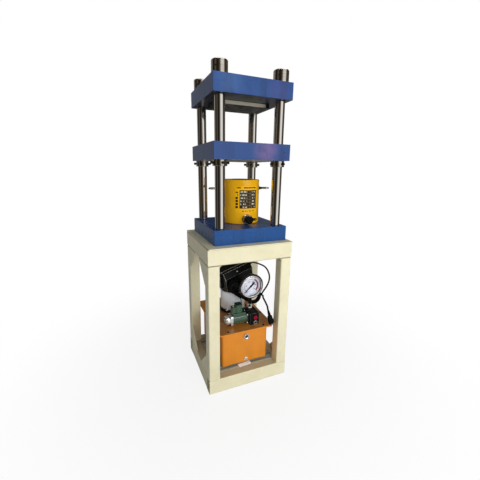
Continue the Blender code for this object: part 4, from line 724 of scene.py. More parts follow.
def spun(angle, axis="Z"):
    return Matrix.Rotation(math.radians(angle), 4, axis)


def shifted(x=0.0, y=0.0, z=0.0):
    return Matrix.Translation((x, y, z))


def sized(x, y, z):
    return Matrix.Diagonal((x, y, z, 1))


def cap_screw(head, height, sides=24):
    """Socket head screw standing on Z = 0."""
    radius = head / 2
    piece = turned("screw", [(radius, 0), (radius, height * 0.92), (radius * 0.92, height)], sides)
    hexagon = turned("socket", [(radius * 0.56, height * 0.45), (radius * 0.56, height * 1.5)], 6)
    return drilled(piece, hexagon)


def hex_bolt(across, height):
    """Hexagon head on a washer, standing on Z = 0."""
    radius = across / 2 / math.cos(math.pi / 6)
    washer = turned("washer", [(across * 0.78, 0), (across * 0.78, height * 0.22)], SMALL)
    head = turned("head", [(radius, height * 0.2), (radius, height * 0.85), (radius * 0.86, height)], 6)
    return joined("bolt", [washer, head])


def lathed(name, steps, look, stands_for=(), sides=ROUND, hollow=False, **finish):
    """Turn a round piece and finish it."""
    return finished(turned(name, steps, sides, hollow), look, stands_for, **finish)


def groove(radius, floor, height, width):
    """Steps of a groove with sloping sides round a turned piece."""
    rise, slope = height + width, 0.0006
    return [(radius, height), (floor, height + slope), (floor, rise - slope), (radius, rise)]


def bored(piece, radius, low, high, places, sides=ROUND):
    """Drill the same hole along Z at each place."""
    drills = [moved(turned("drill", [(radius, low), (radius, high)], sides), place) for place in places]
    return drilled(piece, joined("drills", drills))


def repeated(name, piece, places, look, edge=0.0003):
    """Put copies of a small part at each place and join them; the first one goes."""
    copies = [copied(piece, "copy", place) for place in places]
    bpy.data.objects.remove(piece, do_unlink=True)
    return finished(joined(name, copies), look, edge=edge)


def quartered(place, turn, then):
    """Four places spread evenly about Z, each followed by one more step."""
    return [place @ spun(turn + 90 * index) @ then for index in range(4)]


def at_corners(place, x, y, z=0.0):
    """The four places that lie x and y to either side of a place, z above it."""
    return [place @ shifted(side * x, end * y, z) for side in (-1, 1) for end in (-1, 1)]


def in_stand(points):
    return [Vector(point) + SHIFT for point in points]


# Cords

GLAND = (0.2113, 0.057, -0.013)
GLAND_REACH = 0.022
CORD_STUB = 0.014
CORD_IN = (
    (0.2080, 0.082, 0.5910),
    (0.2335, 0.062, 0.5746),
    (0.2433, 0.040, 0.5494),
    (0.2405, 0.018, 0.5246),
    (0.2253, 0.000, 0.4972),
    (0.2005, -0.014, 0.4720),
    (0.1780, -0.024, 0.4560),
    (0.1620, -0.0258, 0.4345),
)
CORD_OUT = (
    (0.1610, -0.050, 0.4390),
    (0.1460, -0.080, 0.4480),
    (0.1330, -0.112, 0.4540),
    (0.1265, -0.150, 0.4483),
    (0.1262, -0.176, 0.4322),
)
LEAD_OUTLET = (0.030, 0.001, -0.0887)
LEAD_ENTRY = (0.010, -0.080, 0.3920)
LEAD_STUB = 0.013
LEAD = (
    (0.0060, 0.012, 0.4430),
    (0.0240, -0.022, 0.4340),
    (0.0196, -0.045, 0.4259),
    (0.0140, -0.067, 0.4160),
)
HANK = Vector((0.051, -0.0295, 0.4755))
HANK_TILT = 35.5
HANK_REACH = 0.075
HANK_RADIUS = 0.0344
HANK_STRAND = 0.0070
HANK_TURNS = 4
HANK_START = 88.0
HANK_END = 7.5
HANK_STEP = 0.020
PLUG = (0.1335, -0.190, 0.384)
PLUG_LEAN = (-7.9, -13.7, 0)
BOOT = 0.030
BOOT_RINGS = 5
BOOT_WIDE = 0.0088
BOOT_TAPER = 0.0032
PIN_OFFSET = 0.00635
PIN_HALF = (0.0008, 0.00315)


def box_place():
    """The control box's frame: X along the box, Z up its front."""
    return at(-0.0607, -0.0006, 0.5501, (11.2, -13.1, 12.1))


def plug_place():
    return at(*PLUG, PLUG_LEAN)


def hank_knots():
    """Knots of the wound cord: four strands side by side that twist a quarter turn in each winding."""
    tilt = math.radians(HANK_TILT)
    long_way = Vector((math.cos(tilt), 0, -math.sin(tilt)))
    up_way = Vector((math.sin(tilt), 0, math.cos(tilt)))
    bend = math.pi * HANK_RADIUS
    run = 2 * HANK_REACH
    whole = 2 * (bend + run)
    start = math.radians(HANK_START) * HANK_RADIUS
    end = HANK_TURNS * whole + math.radians(HANK_END) * HANK_RADIUS
    count = round((end - start) / HANK_STEP)
    knots = []
    for index in range(count + 1):
        length = start + (end - start) * index / count
        twist = math.radians(45) + math.tau / 4 * (length - start) / whole
        radius = HANK_RADIUS + HANK_STRAND * math.cos(twist)
        way = length % whole
        if way < bend:
            angle, middle = math.pi / 2 - way / HANK_RADIUS, HANK_REACH
        elif way < bend + run:
            angle, middle = -math.pi / 2, HANK_REACH - (way - bend)
        elif way < 2 * bend + run:
            angle, middle = -math.pi / 2 - (way - bend - run) / HANK_RADIUS, -HANK_REACH
        else:
            angle, middle = math.pi / 2, way - 2 * bend - run - HANK_REACH
        flat = long_way * (middle + radius * math.cos(angle)) + up_way * radius * math.sin(angle)
        knots.append(HANK + flat + Vector((0, HANK_STRAND * math.sin(twist), 0)) + SHIFT)
    return knots


def smoothed(knots, steps=4):
    """Curve through the knots; its first and last stretches stay straight."""
    points = [knots[0]]
    for before, start, end, after in zip(knots, knots[1:], knots[2:], knots[3:]):
        for step in range(steps):
            t = step / steps
            pull = 2 * start + (end - before) * t
            pull += (2 * before - 5 * start + 4 * end - after) * t * t
            pull += (3 * start - before - 3 * end + after) * t * t * t
            points.append(pull / 2)
    return points + [knots[-2], knots[-1]]


def laid_cord(name, points, diameter, look):
    """Round cord along the points, as a curve."""
    clear()
    curve = bpy.data.curves.new(name, "CURVE")
    curve.dimensions = "3D"
    curve.bevel_depth = diameter / 2
    curve.bevel_resolution = 4
    curve.use_fill_caps = True
    spline = curve.splines.new("POLY")
    spline.points.add(len(points) - 1)
    for target, point in zip(spline.points, points):
        target.co = (*point, 1)
    spline.use_smooth = True
    piece = bpy.data.objects.new(name, curve)
    bpy.context.scene.collection.objects.link(piece)
    return finished(piece, look)


class PRESS_OT_cords(Operator):
    """Lay the power cord from gland to plug with its wound hank, and the valve's lead"""

    bl_idname = "press.cords"
    bl_label = "Cords and plug"

    def execute(self, context):
        sizes = context.scene.press_sizes
        box = box_place()
        x, y, z = GLAND
        face = box @ Vector((x + GLAND_REACH + SEAT, y, z))
        stub = box @ Vector((x + GLAND_REACH + CORD_STUB, y, z))
        plug = plug_place()
        before = plug @ Vector((0, 0, BOOT + CORD_STUB))
        end = plug @ Vector((0, 0, BOOT + SEAT))
        points = smoothed([face, stub, *in_stand(CORD_IN), *hank_knots(), *in_stand(CORD_OUT), before, end])
        cord = laid_cord("power_cord_run", points, sizes.cord, "rubber")
        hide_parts("power_cord", "cord_hank", "cord_tail")
        plug_pieces = self.build_plug(plug)

        stub = Vector((0, 0, LEAD_STUB))
        outlet, entry = Vector(LEAD_OUTLET), Vector(LEAD_ENTRY) + SHIFT
        knots = [box @ outlet, box @ (outlet - stub), *in_stand(LEAD), entry + stub, entry]
        points = smoothed(knots, 6)
        lead = laid_cord("valve_lead", points, sizes.lead, "rubber")
        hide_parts("solenoid_lead")
        return {"FINISHED"}

    def build_plug(self, place):
        """Ringed boot, moulded shell and two flat pins."""
        steps = [(0.0085, -0.010), (BOOT_WIDE, 0)]
        for ring in range(BOOT_RINGS):
            low = BOOT * ring / BOOT_RINGS
            wide = BOOT_WIDE - BOOT_TAPER * ring / BOOT_RINGS
            steps += [(wide, low + 0.0035), (wide - 0.0014, low + 0.0040), (wide - 0.0014, low + 0.0056)]
            steps.append((wide - 0.0006, low + 0.0060))
        steps.append((0.0052, BOOT))
        boot = lathed("plug_boot", steps, "rubber", (), SMALL, place=place, edge=0.0003)
        sections = [(0.018, 0.015, -0.001), (0.024, 0.018, -0.003), (0.029, 0.0195, -0.010)]
        sections += [(0.0265, 0.0175, -0.019), (0.032, 0.021, -0.027), (0.034, 0.022, -0.040)]
        sections += [(0.033, 0.0215, -0.0485), (0.029, 0.018, -0.050)]
        body = slab("plug_shell", sections, 0.006, 6)
        body = finished(body, "rubber", ("plug_body",), place=place, edge=0.0008, segments=3, angle=50)
        wide, deep = PIN_HALF
        hole = shifted(0, 0, -0.064) @ spun(90, "Y")
        pins = []
        for middle in (-PIN_OFFSET, PIN_OFFSET):
            pin = block("pin", (middle - wide, -deep, -0.0685), (middle + wide, deep, -0.046), 0, 0.002, 4)
            pins.append(bored(pin, 0.0015, -0.01, 0.01, [hole], 16))
        pins = finished(joined("plug_pins", pins), "pin_brass", place=place, edge=0.0002)
        return [boot, body, pins]


# Stand

TUBE = 0.060
TUBE_CORNER = 0.006
TUBE_WALL = 0.004
LEG_X = 0.172
LEG_Y = 0.165
TOP_GUSSET = 0.115
FOOT_GUSSET = 0.112
GUSSET_FACES = (0.230, 0.224)
GUSSET_NOSE = 0.012
OPENING_FILLET = 0.011
FRAME_BEND = 0.009
TAG_SIZE = (0.076, 0.030)


class PRESS_OT_stand(Operator):
    """Weld up the stand: rails, legs with gussets, upper frame, top plate and shelf"""

    bl_idname = "press.stand"
    bl_label = "Stand"

    def execute(self, context):
        self.build_rails()
        for corner, sides in CORNERS.items():
            self.build_leg(corner, *sides)
        self.build_upper_frame()
        plate = block("top_cover_plate", *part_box("stand_top_plate"), 2, 0.003, 3)
        finished(plate, "cream", ("stand_top_plate",), edge=0.0012, segments=3)
        repainted("stand_shelf", "shelf")
        self.build_tag()
        return {"FINISHED"}

    def build_rails(self):
        """Two open tubes across the front and back with two between them."""
        low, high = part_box("stand_bottom_frame")
        middle = (low + high) / 2
        reach = high.y - middle.y
        between = reach - TUBE - 0.0005
        parts = []
        for side in (-1, 1):
            y = middle.y + side * reach
            rail = block("rail", (low.x, y, low.z), (high.x, y - side * TUBE, high.z), 0, TUBE_CORNER)
            opened(rail)
            pick("faces", lambda face: abs(face.normal.x) > 0.9)
            bpy.ops.mesh.delete(type="FACE")
            bpy.ops.object.mode_set(mode="OBJECT")
            parts.append(modified(rail, "SOLIDIFY", thickness=TUBE_WALL, offset=-1, use_even_offset=True))
            x = side * high.x
            corners = (x, middle.y - between, low.z), (x - side * TUBE, middle.y + between, high.z)
            parts.append(block("rail", *corners, 1, TUBE_CORNER))
        finished(joined("floor_rails", parts), "cream", ("stand_bottom_frame",), edge=0.0006)

    def build_leg(self, corner, side_x, side_y):
        node = f"stand_leg_{corner}"
        bottom, top = (end.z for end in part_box(node))
        inner = side_x * LEG_X, side_y * LEG_Y + SHIFT.y, bottom
        outer = side_x * (LEG_X + TUBE), side_y * (LEG_Y + TUBE) + SHIFT.y, top
        parts = [block("leg", inner, outer, 2, TUBE_CORNER)]
        for size, height, rise in ((TOP_GUSSET, top, -1), (FOOT_GUSSET, bottom, 1)):
            tip = height + rise * size
            root = side_x * GUSSET_FACES[0], side_y * (LEG_Y + 0.001) + SHIFT.y, height
            end = side_x * GUSSET_FACES[1], side_y * (LEG_Y - size) + SHIFT.y, tip
            cut = 0, side_y * (LEG_Y - GUSSET_NOSE) + SHIFT.y, tip
            parts.append(trimmed(block("gusset", root, end), cut, (0, -side_y, rise)))
        if side_y < 0:
            parts.append(self.corner_fillet(side_x, top))
        finished(joined(f"leg_{corner}", parts), "cream", (node,), edge=0.0007)
        self.build_beads(corner, side_x, side_y, bottom, top)

    def corner_fillet(self, side, top):
        """Hollow fillet that rounds the opening's corner between a front leg and the upper frame."""
        front, back = SHIFT.y - LEG_Y - TUBE, SHIFT.y - LEG_Y
        radius = OPENING_FILLET
        low = side * (LEG_X + 0.0001), front, top - radius
        fillet = block("fillet", low, (side * (LEG_X - radius), back, top))
        axis = shifted(side * (LEG_X - radius), 0, top - radius) @ spun(-90, "X")
        return bored(fillet, radius, front - 0.01, back + 0.01, [axis], 48)

    def build_beads(self, corner, side_x, side_y, bottom, top):
        """Weld beads along the gussets and across the leg's inner faces."""
        beads = []
        for height, rise in ((top, -1), (bottom, 1)):
            for x, y, gap, way in (
                (0.2235, 0.1645, 0.0040, (0, 0, rise * 0.106)),
                (0.2235, 0.1600, 0.0005, (0, -side_y * 0.104, 0)),
                (0.1715, 0.1700, 0.0005, (0, side_y * 0.050, 0)),
                (0.1770, 0.1645, 0.0005, (side_x * 0.042, 0, 0)),
            ):
                start = Vector((side_x * x, side_y * y, height + rise * gap)) + SHIFT
                beads.append(self.bead(start, Vector(way)))
        finished(joined(f"weld_beads_{corner}", beads), "cream")

    def bead(self, start, way):
        """One rippled half buried bead of weld."""
        length = way.length
        count = max(3, round(length / 0.0030))
        ripple = length / count
        steps = [(0.0004, 0)]
        for index in range(count):
            steps += [(0.0017, ripple * (index + 0.25)), (0.0021, ripple * (index + 0.75))]
        steps.append((0.0004, length))
        place = shifted(*start) @ way.to_track_quat("Z", "Y").to_matrix().to_4x4()
        return moved(turned("bead", steps, 10), place)

    def build_upper_frame(self):
        """Channel carried round the frame, with round lower bends."""
        low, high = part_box("stand_upper_frame")
        middle, size, bend = (low + high) / 2, high - low, FRAME_BEND
        turns = [math.radians(15 * step) for step in range(1, 7)]
        quarter = [(bend - bend * math.cos(turn), bend - bend * math.sin(turn)) for turn in turns]
        profile = [(0, size.z), (0, bend), *quarter]
        profile += [(TUBE - inset, height) for inset, height in reversed([(0, bend), *quarter[:-1]])]
        profile.append((TUBE, size.z))
        clear()
        bpy.ops.mesh.primitive_plane_add(size=1, enter_editmode=True)
        bpy.ops.mesh.delete(type="ONLY_FACE")
        bpy.ops.mesh.select_all(action="SELECT")
        sections = [(size.x - 2 * inset, size.y - 2 * inset, height) for inset, height in profile]
        ring = drawn_through("upper_channel", [*sections, sections[0]])
        place = shifted(middle.x, middle.y, low.z)
        finished(ring, "cream", ("stand_upper_frame",), edge=0.0006, place=place)

    def build_tag(self):
        """Blank paper tag that lies on the shelf with one end lifted."""
        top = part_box("stand_shelf")[1].z
        clear()
        bpy.ops.mesh.primitive_grid_add(x_subdivisions=12, y_subdivisions=6, size=1, enter_editmode=True)
        bpy.ops.transform.resize(value=(*TAG_SIZE, 1), center_override=(0, 0, 0))
        pick("verts", lambda vert: vert.co.x > 0.030)
        bpy.ops.transform.translate(value=(0, 0, 0.0016))
        tag = closed_shape("blank_tag")
        modified(tag, "SOLIDIFY", thickness=0.0005, offset=1)
        modified(tag, "SUBSURF", levels=1, render_levels=1)
        finished(tag, "tag", place=at(-0.005, -0.167, top + 0.0003, (0, 0, 4)), angle=60)


# Head

SPIGOT_BORE = 0.0203
PLATEN_BORE = 0.0254
COLUMN = 0.025
SPIGOT = 0.020
COLLAR_BORE = 0.0252
COLLAR = 0.035
COLLAR_HEIGHT = 0.030
COLLAR_TURNS = (2.0, 17.0, -30.0, -23.0)
NUT_BORE = 0.0205
NUT = 0.0375


class PRESS_OT_head(Operator):
    """Machine the plates, columns, collars, nuts and tooling of the head"""

    bl_idname = "press.head"
    bl_label = "Head"

    def execute(self, context):
        edge = context.scene.press_sizes.edge
        axes = [self.axis(corner) for corner in CORNERS]
        for name, node, body, bore, look in (
            ("base_slab", "base_plate", "root", SPIGOT_BORE, "deep_blue"),
            ("platen_slab", "moving_platen", "platen", PLATEN_BORE, "blue"),
            ("crown_slab", "top_plate", "root", SPIGOT_BORE, "crown_blue"),
        ):
            low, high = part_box(node)
            plate = block(name, low, high, 2, 0.0022, 3)
            plate = bored(plate, bore, low.z - 0.01, high.z + 0.01, axes)
            finished(plate, look, (node,), body, edge, segments=3)
        self.build_platen_button()
        for corner, axis, turn in zip(CORNERS, axes, COLLAR_TURNS):
            self.build_column(corner, axis)
            self.build_collar(corner, axis, turn)
            self.build_nut(corner, axis)
        repainted("tooling_plate", "raw")
        repainted("tooling_rail_left", "oxide")
        repainted("tooling_rail_right", "oxide")
        return {"FINISHED"}

    def axis(self, corner):
        low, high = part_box(f"column_nut_{corner}")
        return shifted((low.x + high.x) / 2, (low.y + high.y) / 2)

    def build_platen_button(self):
        place = shifted(0.1835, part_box("moving_platen")[0].y, 1.264) @ spun(90, "X")
        steps = [(0.0062, -0.002), (0.0062, 0.0006), (0.0052, 0.0016), (0.003, 0.0021)]
        lathed("platen_button", steps, "blue", (), SMALL, body="platen", edge=0.0003, place=place, segments=3)

    def build_column(self, corner, axis):
        """Column with a shouldered spigot at each end, the upper one threaded."""
        base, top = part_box("base_plate"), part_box("top_plate")[0].z - SEAT
        foot, bottom = base[0].z + 0.003, base[1].z + SEAT
        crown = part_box(f"column_{corner}")[1].z
        steps = [(0.017, foot), (SPIGOT, foot + 0.003), (SPIGOT, bottom), (0.0235, bottom)]
        steps += [(COLUMN, bottom + 0.0015), (COLUMN, top - 0.0015), (0.0235, top), (SPIGOT, top)]
        for ring in range(8):
            height = crown - 0.022 + 0.0022 * ring
            steps += [(SPIGOT, height), (0.0192, height + 0.0011)]
        steps += [(SPIGOT, crown - 0.003), (0.017, crown), (0.004, crown), (0.002, crown - 0.002)]
        lathed(f"post_{corner}", steps, "chrome", (f"column_{corner}",), FINE, edge=0.0002, place=axis)

    def build_collar(self, corner, axis, turn):
        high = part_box("moving_platen")[0].z - SEAT
        low = high - COLLAR_HEIGHT
        steps = [(COLLAR_BORE, low), (0.0338, low), (COLLAR, low + 0.0012), (COLLAR, high - 0.0012)]
        steps += [(0.0338, high), (COLLAR_BORE, high)]
        lathed(f"collar_{corner}", steps, "turned", (), FINE, True, edge=0.0003, place=axis)
        middle = axis @ shifted(z=(low + high) / 2)
        places = quartered(middle, turn, shifted(COLLAR - 0.0005) @ spun(90, "Y"))
        repeated(f"collar_screws_{corner}", cap_screw(0.0125, 0.0125), places, "oxide")

    def build_nut(self, corner, axis):
        node = f"column_nut_{corner}"
        low, high = (end.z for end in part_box(node))
        steps = [(NUT_BORE, low), (0.0365, low), (NUT, low + 0.001), (NUT, high - 0.004)]
        steps += [(0.0362, high - 0.0012), (0.0335, high), (0.0245, high), (NUT_BORE, high - 0.004)]
        nut = turned(f"nut_{corner}", steps, FINE, hollow=True)
        tommy_holes = quartered(shifted(z=(low + high) / 2), 45, spun(90, "Y"))
        nut = bored(nut, 0.004, 0.0255, 0.045, tommy_holes, SMALL)
        finished(nut, "turned", (node,), edge=0.0004, place=axis)


# Jack

JACK_HEIGHT = 0.2361
JACK_RADIUS = 0.1025
JACK_BORE = 0.080
RING_SEAT = 0.0883
COUPLER = (0.0012, 0.0212, 0.0392)
EYE_HEIGHT = 0.187
TABLE_SIZE = (0.122, 1, 0.138)


class PRESS_OT_jack(Operator):
    """Build the cylinder jack with its ram, saddle, coupler, cap, eyes and data table"""

    bl_idname = "press.jack"
    bl_label = "Jack"

    def execute(self, context):
        place = at(0.037, 0.025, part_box("base_plate")[1].z + SEAT, (0, 0, -2.5))
        self.build_barrel(place)
        self.build_ram(place)
        front = place @ shifted(0, -JACK_RADIUS, 0.0285) @ spun(90, "X")
        self.build_coupler(front)
        self.build_cap(front)
        for name, angle, shank in (("right", 0, 0.0265), ("left", 180, 0.0385)):
            self.build_eye(name, place @ spun(angle), shank)
        self.build_table(place)
        return {"FINISHED"}

    def build_barrel(self, place):
        radius, height = JACK_RADIUS, JACK_HEIGHT
        top = height - 0.002
        low = top - 0.028
        steps = [(radius - 0.004, 0), (radius - 0.0012, 0.0012), (radius, 0.004), (radius, height - 0.004)]
        steps += [(radius - 0.0012, height - 0.0012), (radius - 0.004, height), (RING_SEAT, height)]
        steps += [(RING_SEAT, low - SEAT), (JACK_BORE, low - SEAT), (JACK_BORE, 0.030)]
        lathed("jack_shell", steps, "yellow", ("jack_body",), FINEST, edge=0.0006, place=place)

        steps = [(0.0594, low), (0.088, low), (0.088, top - 0.001), (0.087, top), (0.0672, top)]
        steps += [(0.0664, top - 0.0008), (0.0629, top - 0.004), (0.0594, top - 0.004)]
        ring = turned("gland_ring", steps, FINE, hollow=True)
        ring = bored(ring, 0.003, top - 0.008, top + 0.01, quartered(shifted(), 20, shifted(0.0775)), 24)
        finished(ring, "oxide", ("jack_stop_ring",), edge=0.0004, place=place)

    def build_ram(self, place):
        crown = JACK_HEIGHT + 0.002
        rim, seat = crown - 0.004, crown - 0.012
        steps = [(0.0796, 0.0303), (0.0796, 0.0557), (0.059, 0.0557), (0.059, rim - 0.002), (0.057, rim)]
        steps += [(0.0503, rim), (0.0503, seat - SEAT)]
        lathed("ram_bar", steps, "chrome", ("jack_ram",), FINE, body="ram", edge=0.0004, place=place)
        steps = [(0.050, seat), (0.050, crown - 0.0015), (0.0485, crown)]
        for groove in (0.040, 0.031, 0.022, 0.013):
            steps += [(groove + 0.0015, crown), (groove, crown - 0.0015), (groove - 0.0015, crown)]
        lathed("saddle_disc", steps, "oxide", ("jack_saddle",), FINE, body="ram", edge=0.0002, place=place)

    def build_coupler(self, place):
        start, shoulder, tip = COUPLER
        steps = [(0.014, -0.014), (0.014, start), (0.0235, start), (0.0255, start + 0.0015)]
        steps += [(0.026, start + 0.003), *groove(0.026, 0.0248, 0.008, 0.0022)]
        steps += groove(0.026, 0.0248, 0.0125, 0.0022)
        steps += [(0.026, shoulder - 0.003), (0.0235, shoulder), (0.017, shoulder), (0.017, tip)]
        lathed("coupler_sleeve", steps, "turned", ("jack_coupler",), FINE, edge=0.0003, place=place)
        steps = [(0.0215, -0.0004), (0.0275, -0.0004), (0.0275, 0.0008), (0.0265, 0.0011), (0.0215, 0.0011)]
        lathed("coupler_washer", steps, "brass", (), FINE, True, place=place)

    def build_cap(self, place):
        """Rubber cap over the coupler's end, with its pull tab."""
        low, floor = COUPLER[1] + SEAT, COUPLER[2] + SEAT
        high, radius = floor + 0.004, 0.0210
        steps = [(0.0173, low), (0.0200, low), (radius, low + 0.001)]
        for height in (0.0255, 0.0295, 0.0335):
            steps += groove(radius, 0.0201, height, 0.002)
        steps += [(radius, high - 0.003), (0.0202, high - 0.001), (0.018, high)]
        steps += [(0.009, high), (0.0082, high - 0.0008)]
        cap = bored(turned("cap_shell", steps), 0.0173, low - 0.01, floor, [shifted()])
        tab = block("tab", (0.0068, -0.007, low), (0.0468, 0.007, low + 0.003), 2, 0.0068, 8)
        tab = bored(tab, 0.0025, low - 0.005, low + 0.01, [shifted(0.0400)], 24)
        tab = bored(tab, 0.0195, low - 0.01, low + 0.02, [shifted()], SMALL)
        finished(joined("coupler_cap", [cap, tab]), "rubber", ("dust_cap",), edge=0.0004, place=place)

    def build_eye(self, name, place, shank):
        neck = JACK_RADIUS + shank
        outer = JACK_RADIUS + SEAT
        steps = [(0.007, outer - 0.010), (0.007, outer), (0.012, outer), (0.012, outer + 0.0048)]
        steps += [(0.0085, outer + 0.0138), (0.0072, outer + 0.014)]
        height = outer + 0.0155
        while height < neck - 0.003:
            steps += [(0.0070, height), (0.0062, height + 0.0008)]
            height += 0.0017
        steps += [(0.0062, neck - 0.001), (0.0058, neck + 0.003), (0.0045, neck + 0.006)]
        rod = moved(turned(f"eye_shank_{name}", steps, SMALL), shifted(0, 0, EYE_HEIGHT) @ spun(90, "Y"))
        finished(rod, "oxide", (f"lifting_eye_{name}",), place=place, angle=40)
        clear()
        bpy.ops.mesh.primitive_torus_add(
            major_radius=0.0165, minor_radius=0.0055, major_segments=ROUND, minor_segments=24,
        )
        loop = bpy.context.object
        loop.name = f"eye_loop_{name}"
        moved(loop, shifted(neck + 0.022, 0, EYE_HEIGHT) @ sized(1.0, 0.96, 0.92))
        finished(loop, "turned", place=place, angle=40)

    def build_table(self, place):
        """Data table sheet bent round the front of the jack."""
        clear()
        upright = (math.radians(90), 0, 0)
        bpy.ops.mesh.primitive_grid_add(x_subdivisions=48, y_subdivisions=24, size=1, rotation=upright)
        sheet = bpy.context.object
        sheet.name = "data_table"
        moved(sheet, shifted(-0.001, 0, 0.133) @ sized(*TABLE_SIZE))
        reach = JACK_RADIUS + 0.0002
        for vert in sheet.data.vertices:
            vert.co.y = -math.sqrt(reach ** 2 - vert.co.x ** 2)
        modified(sheet, "SOLIDIFY", thickness=0.0002, offset=-1)
        finished(sheet, "label", place=place, angle=60)


# Tank

TANK_PLACE = (0.003, 0.0365)
TANK_SIZE = (0.280, 0.383)
TANK_HEIGHTS = (0.0970, 0.3097)
LID_PLACE = (0.002, 0.0385)
FLANGE_SIZE = (0.331, 0.444)
LID_SIZE = (0.334, 0.447)


class PRESS_OT_tank(Operator):
    """Fold the oil tank with its lid, screws, sight glass and drain plug"""

    bl_idname = "press.tank"
    bl_label = "Oil tank"

    def execute(self, context):
        bottom, top = TANK_HEIGHTS
        shell = slab("tank_shell", [(*TANK_SIZE, bottom), (*TANK_SIZE, top - 0.001)], 0.014, 10)
        feet = []
        for x, y in CORNERS.values():
            foot = block("foot", (-0.015, -0.015, 0.0896), (0.015, 0.015, bottom + 0.001))
            feet.append(moved(foot, shifted(x * 0.119, y * 0.1705)))
        shell = joined("tank_shell", [shell, *feet])
        finished(shell, "orange", ("tank_body",), edge=0.0012, segments=3, place=at(*TANK_PLACE, 0))
        place = at(*LID_PLACE, 0)
        flange = slab("tank_flange", [(*FLANGE_SIZE, 0.3057), (*FLANGE_SIZE, top)], 0.0235, 10)
        finished(flange, "orange", edge=0.0012, segments=3, place=place)
        low, high = (end.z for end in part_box("tank_lid"))
        lid = slab("lid_plate", [(*LID_SIZE, low), (*LID_SIZE, high)], 0.025, 12)
        finished(lid, "orange", ("tank_lid",), edge=0.0014, segments=3, place=place)
        spots = at_corners(place, 0.108, 0.2045, high) + at_corners(place, 0.157, 0.066, high)
        repeated("lid_screws", cap_screw(0.011, 0.005), spots, "oxide")
        self.build_fittings()
        return {"FINISHED"}

    def build_fittings(self):
        place = at(0.009, -0.155, 0.260, (90, 0, 0))
        steps = [(0.009, -0.006), (0.009, SEAT), (0.0165, SEAT), (0.018, 0.0015), (0.018, 0.005)]
        steps += [(0.0165, 0.007), (0.0125, 0.007), (0.0112, 0.0058), (0.0112, 0.0035)]
        lathed("sight_rim", steps, "plated", ("sight_glass",), edge=0.0003, place=place)
        lathed("sight_window", [(0.0110, 0.0036), (0.0110, 0.0056), (0.006, 0.0063)], "glass", place=place)
        # Dark disc behind the window: painted shade.
        lathed("sight_spot", [(0.0085, 0.0034), (0.0085, 0.0038)], "painted_shade", (), SMALL, place=place)
        place = at(0.009, -0.155, 0.115, (90, 0, 0))
        steps = [(0.009, -0.006), (0.009, SEAT), (0.012, SEAT), (0.012, 0.002)]
        lathed("drain_seat", steps, "zinc", ("drain_plug",), SMALL, edge=0.0004, place=place)
        steps = [(0.0085, 0.002), (0.0085, 0.0072), (0.0075, 0.008)]
        lathed("drain_screw", steps, "plated", (), 6, edge=0.0004, place=place)


# Motor

MOTOR_SPOT = (0.024, 0.104)
MOTOR_HEIGHTS = (0.0143, 0.1323)


class PRESS_OT_motor(Operator):
    """Stand the motor on the lid: flange, bolts, shell and end bell"""

    bl_idname = "press.motor"
    bl_label = "Motor"

    def execute(self, context):
        place = at(*MOTOR_SPOT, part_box("motor_flange")[0].z)
        steps = [(0.086, 0), (0.088, 0.0015), (0.088, 0.0115), (0.0855, 0.014), (0.079, 0.014)]
        lathed("motor_foot", steps, "cast_black", ("motor_flange",), FINE, edge=0.0006, place=place)
        bolts = quartered(place, 45, shifted(0.0825, 0, 0.0128))
        repeated("motor_bolts", hex_bolt(0.010, 0.0055), bolts, "zinc")

        low, high = MOTOR_HEIGHTS
        steps = [(0.076, low), (0.078, low + 0.0015), (0.078, high - 0.0085), (0.0788, high - 0.0075)]
        steps += [(0.080, high - 0.0062), (0.080, high - 0.0022), (0.0785, high)]
        lathed("motor_shell", steps, "alloy", ("motor_body",), FINEST, edge=0.0005, place=place)

        low = high + SEAT
        steps = [(0.072, low), (0.074, low + 0.0015), (0.074, low + 0.012), (0.0725, low + 0.0135)]
        steps += [(0.0725, low + 0.0165), (0.074, low + 0.018), (0.074, low + 0.108), (0.068, low + 0.114)]
        bell = moved(turned("motor_bell", steps, FINE), place)
        box = box_place()
        normal = (box.to_3x3() @ Vector((0, 0, 1))).normalized()
        bell = trimmed(bell, box @ Vector((0, 0, BOX_FOOT - SEAT)), normal)
        finished(bell, "cast_black", ("motor_end_bell",), edge=0.0005)
        return {"FINISHED"}


# Control box

BOX_FOOT = -0.0884
BOX_TOP = 0.0304


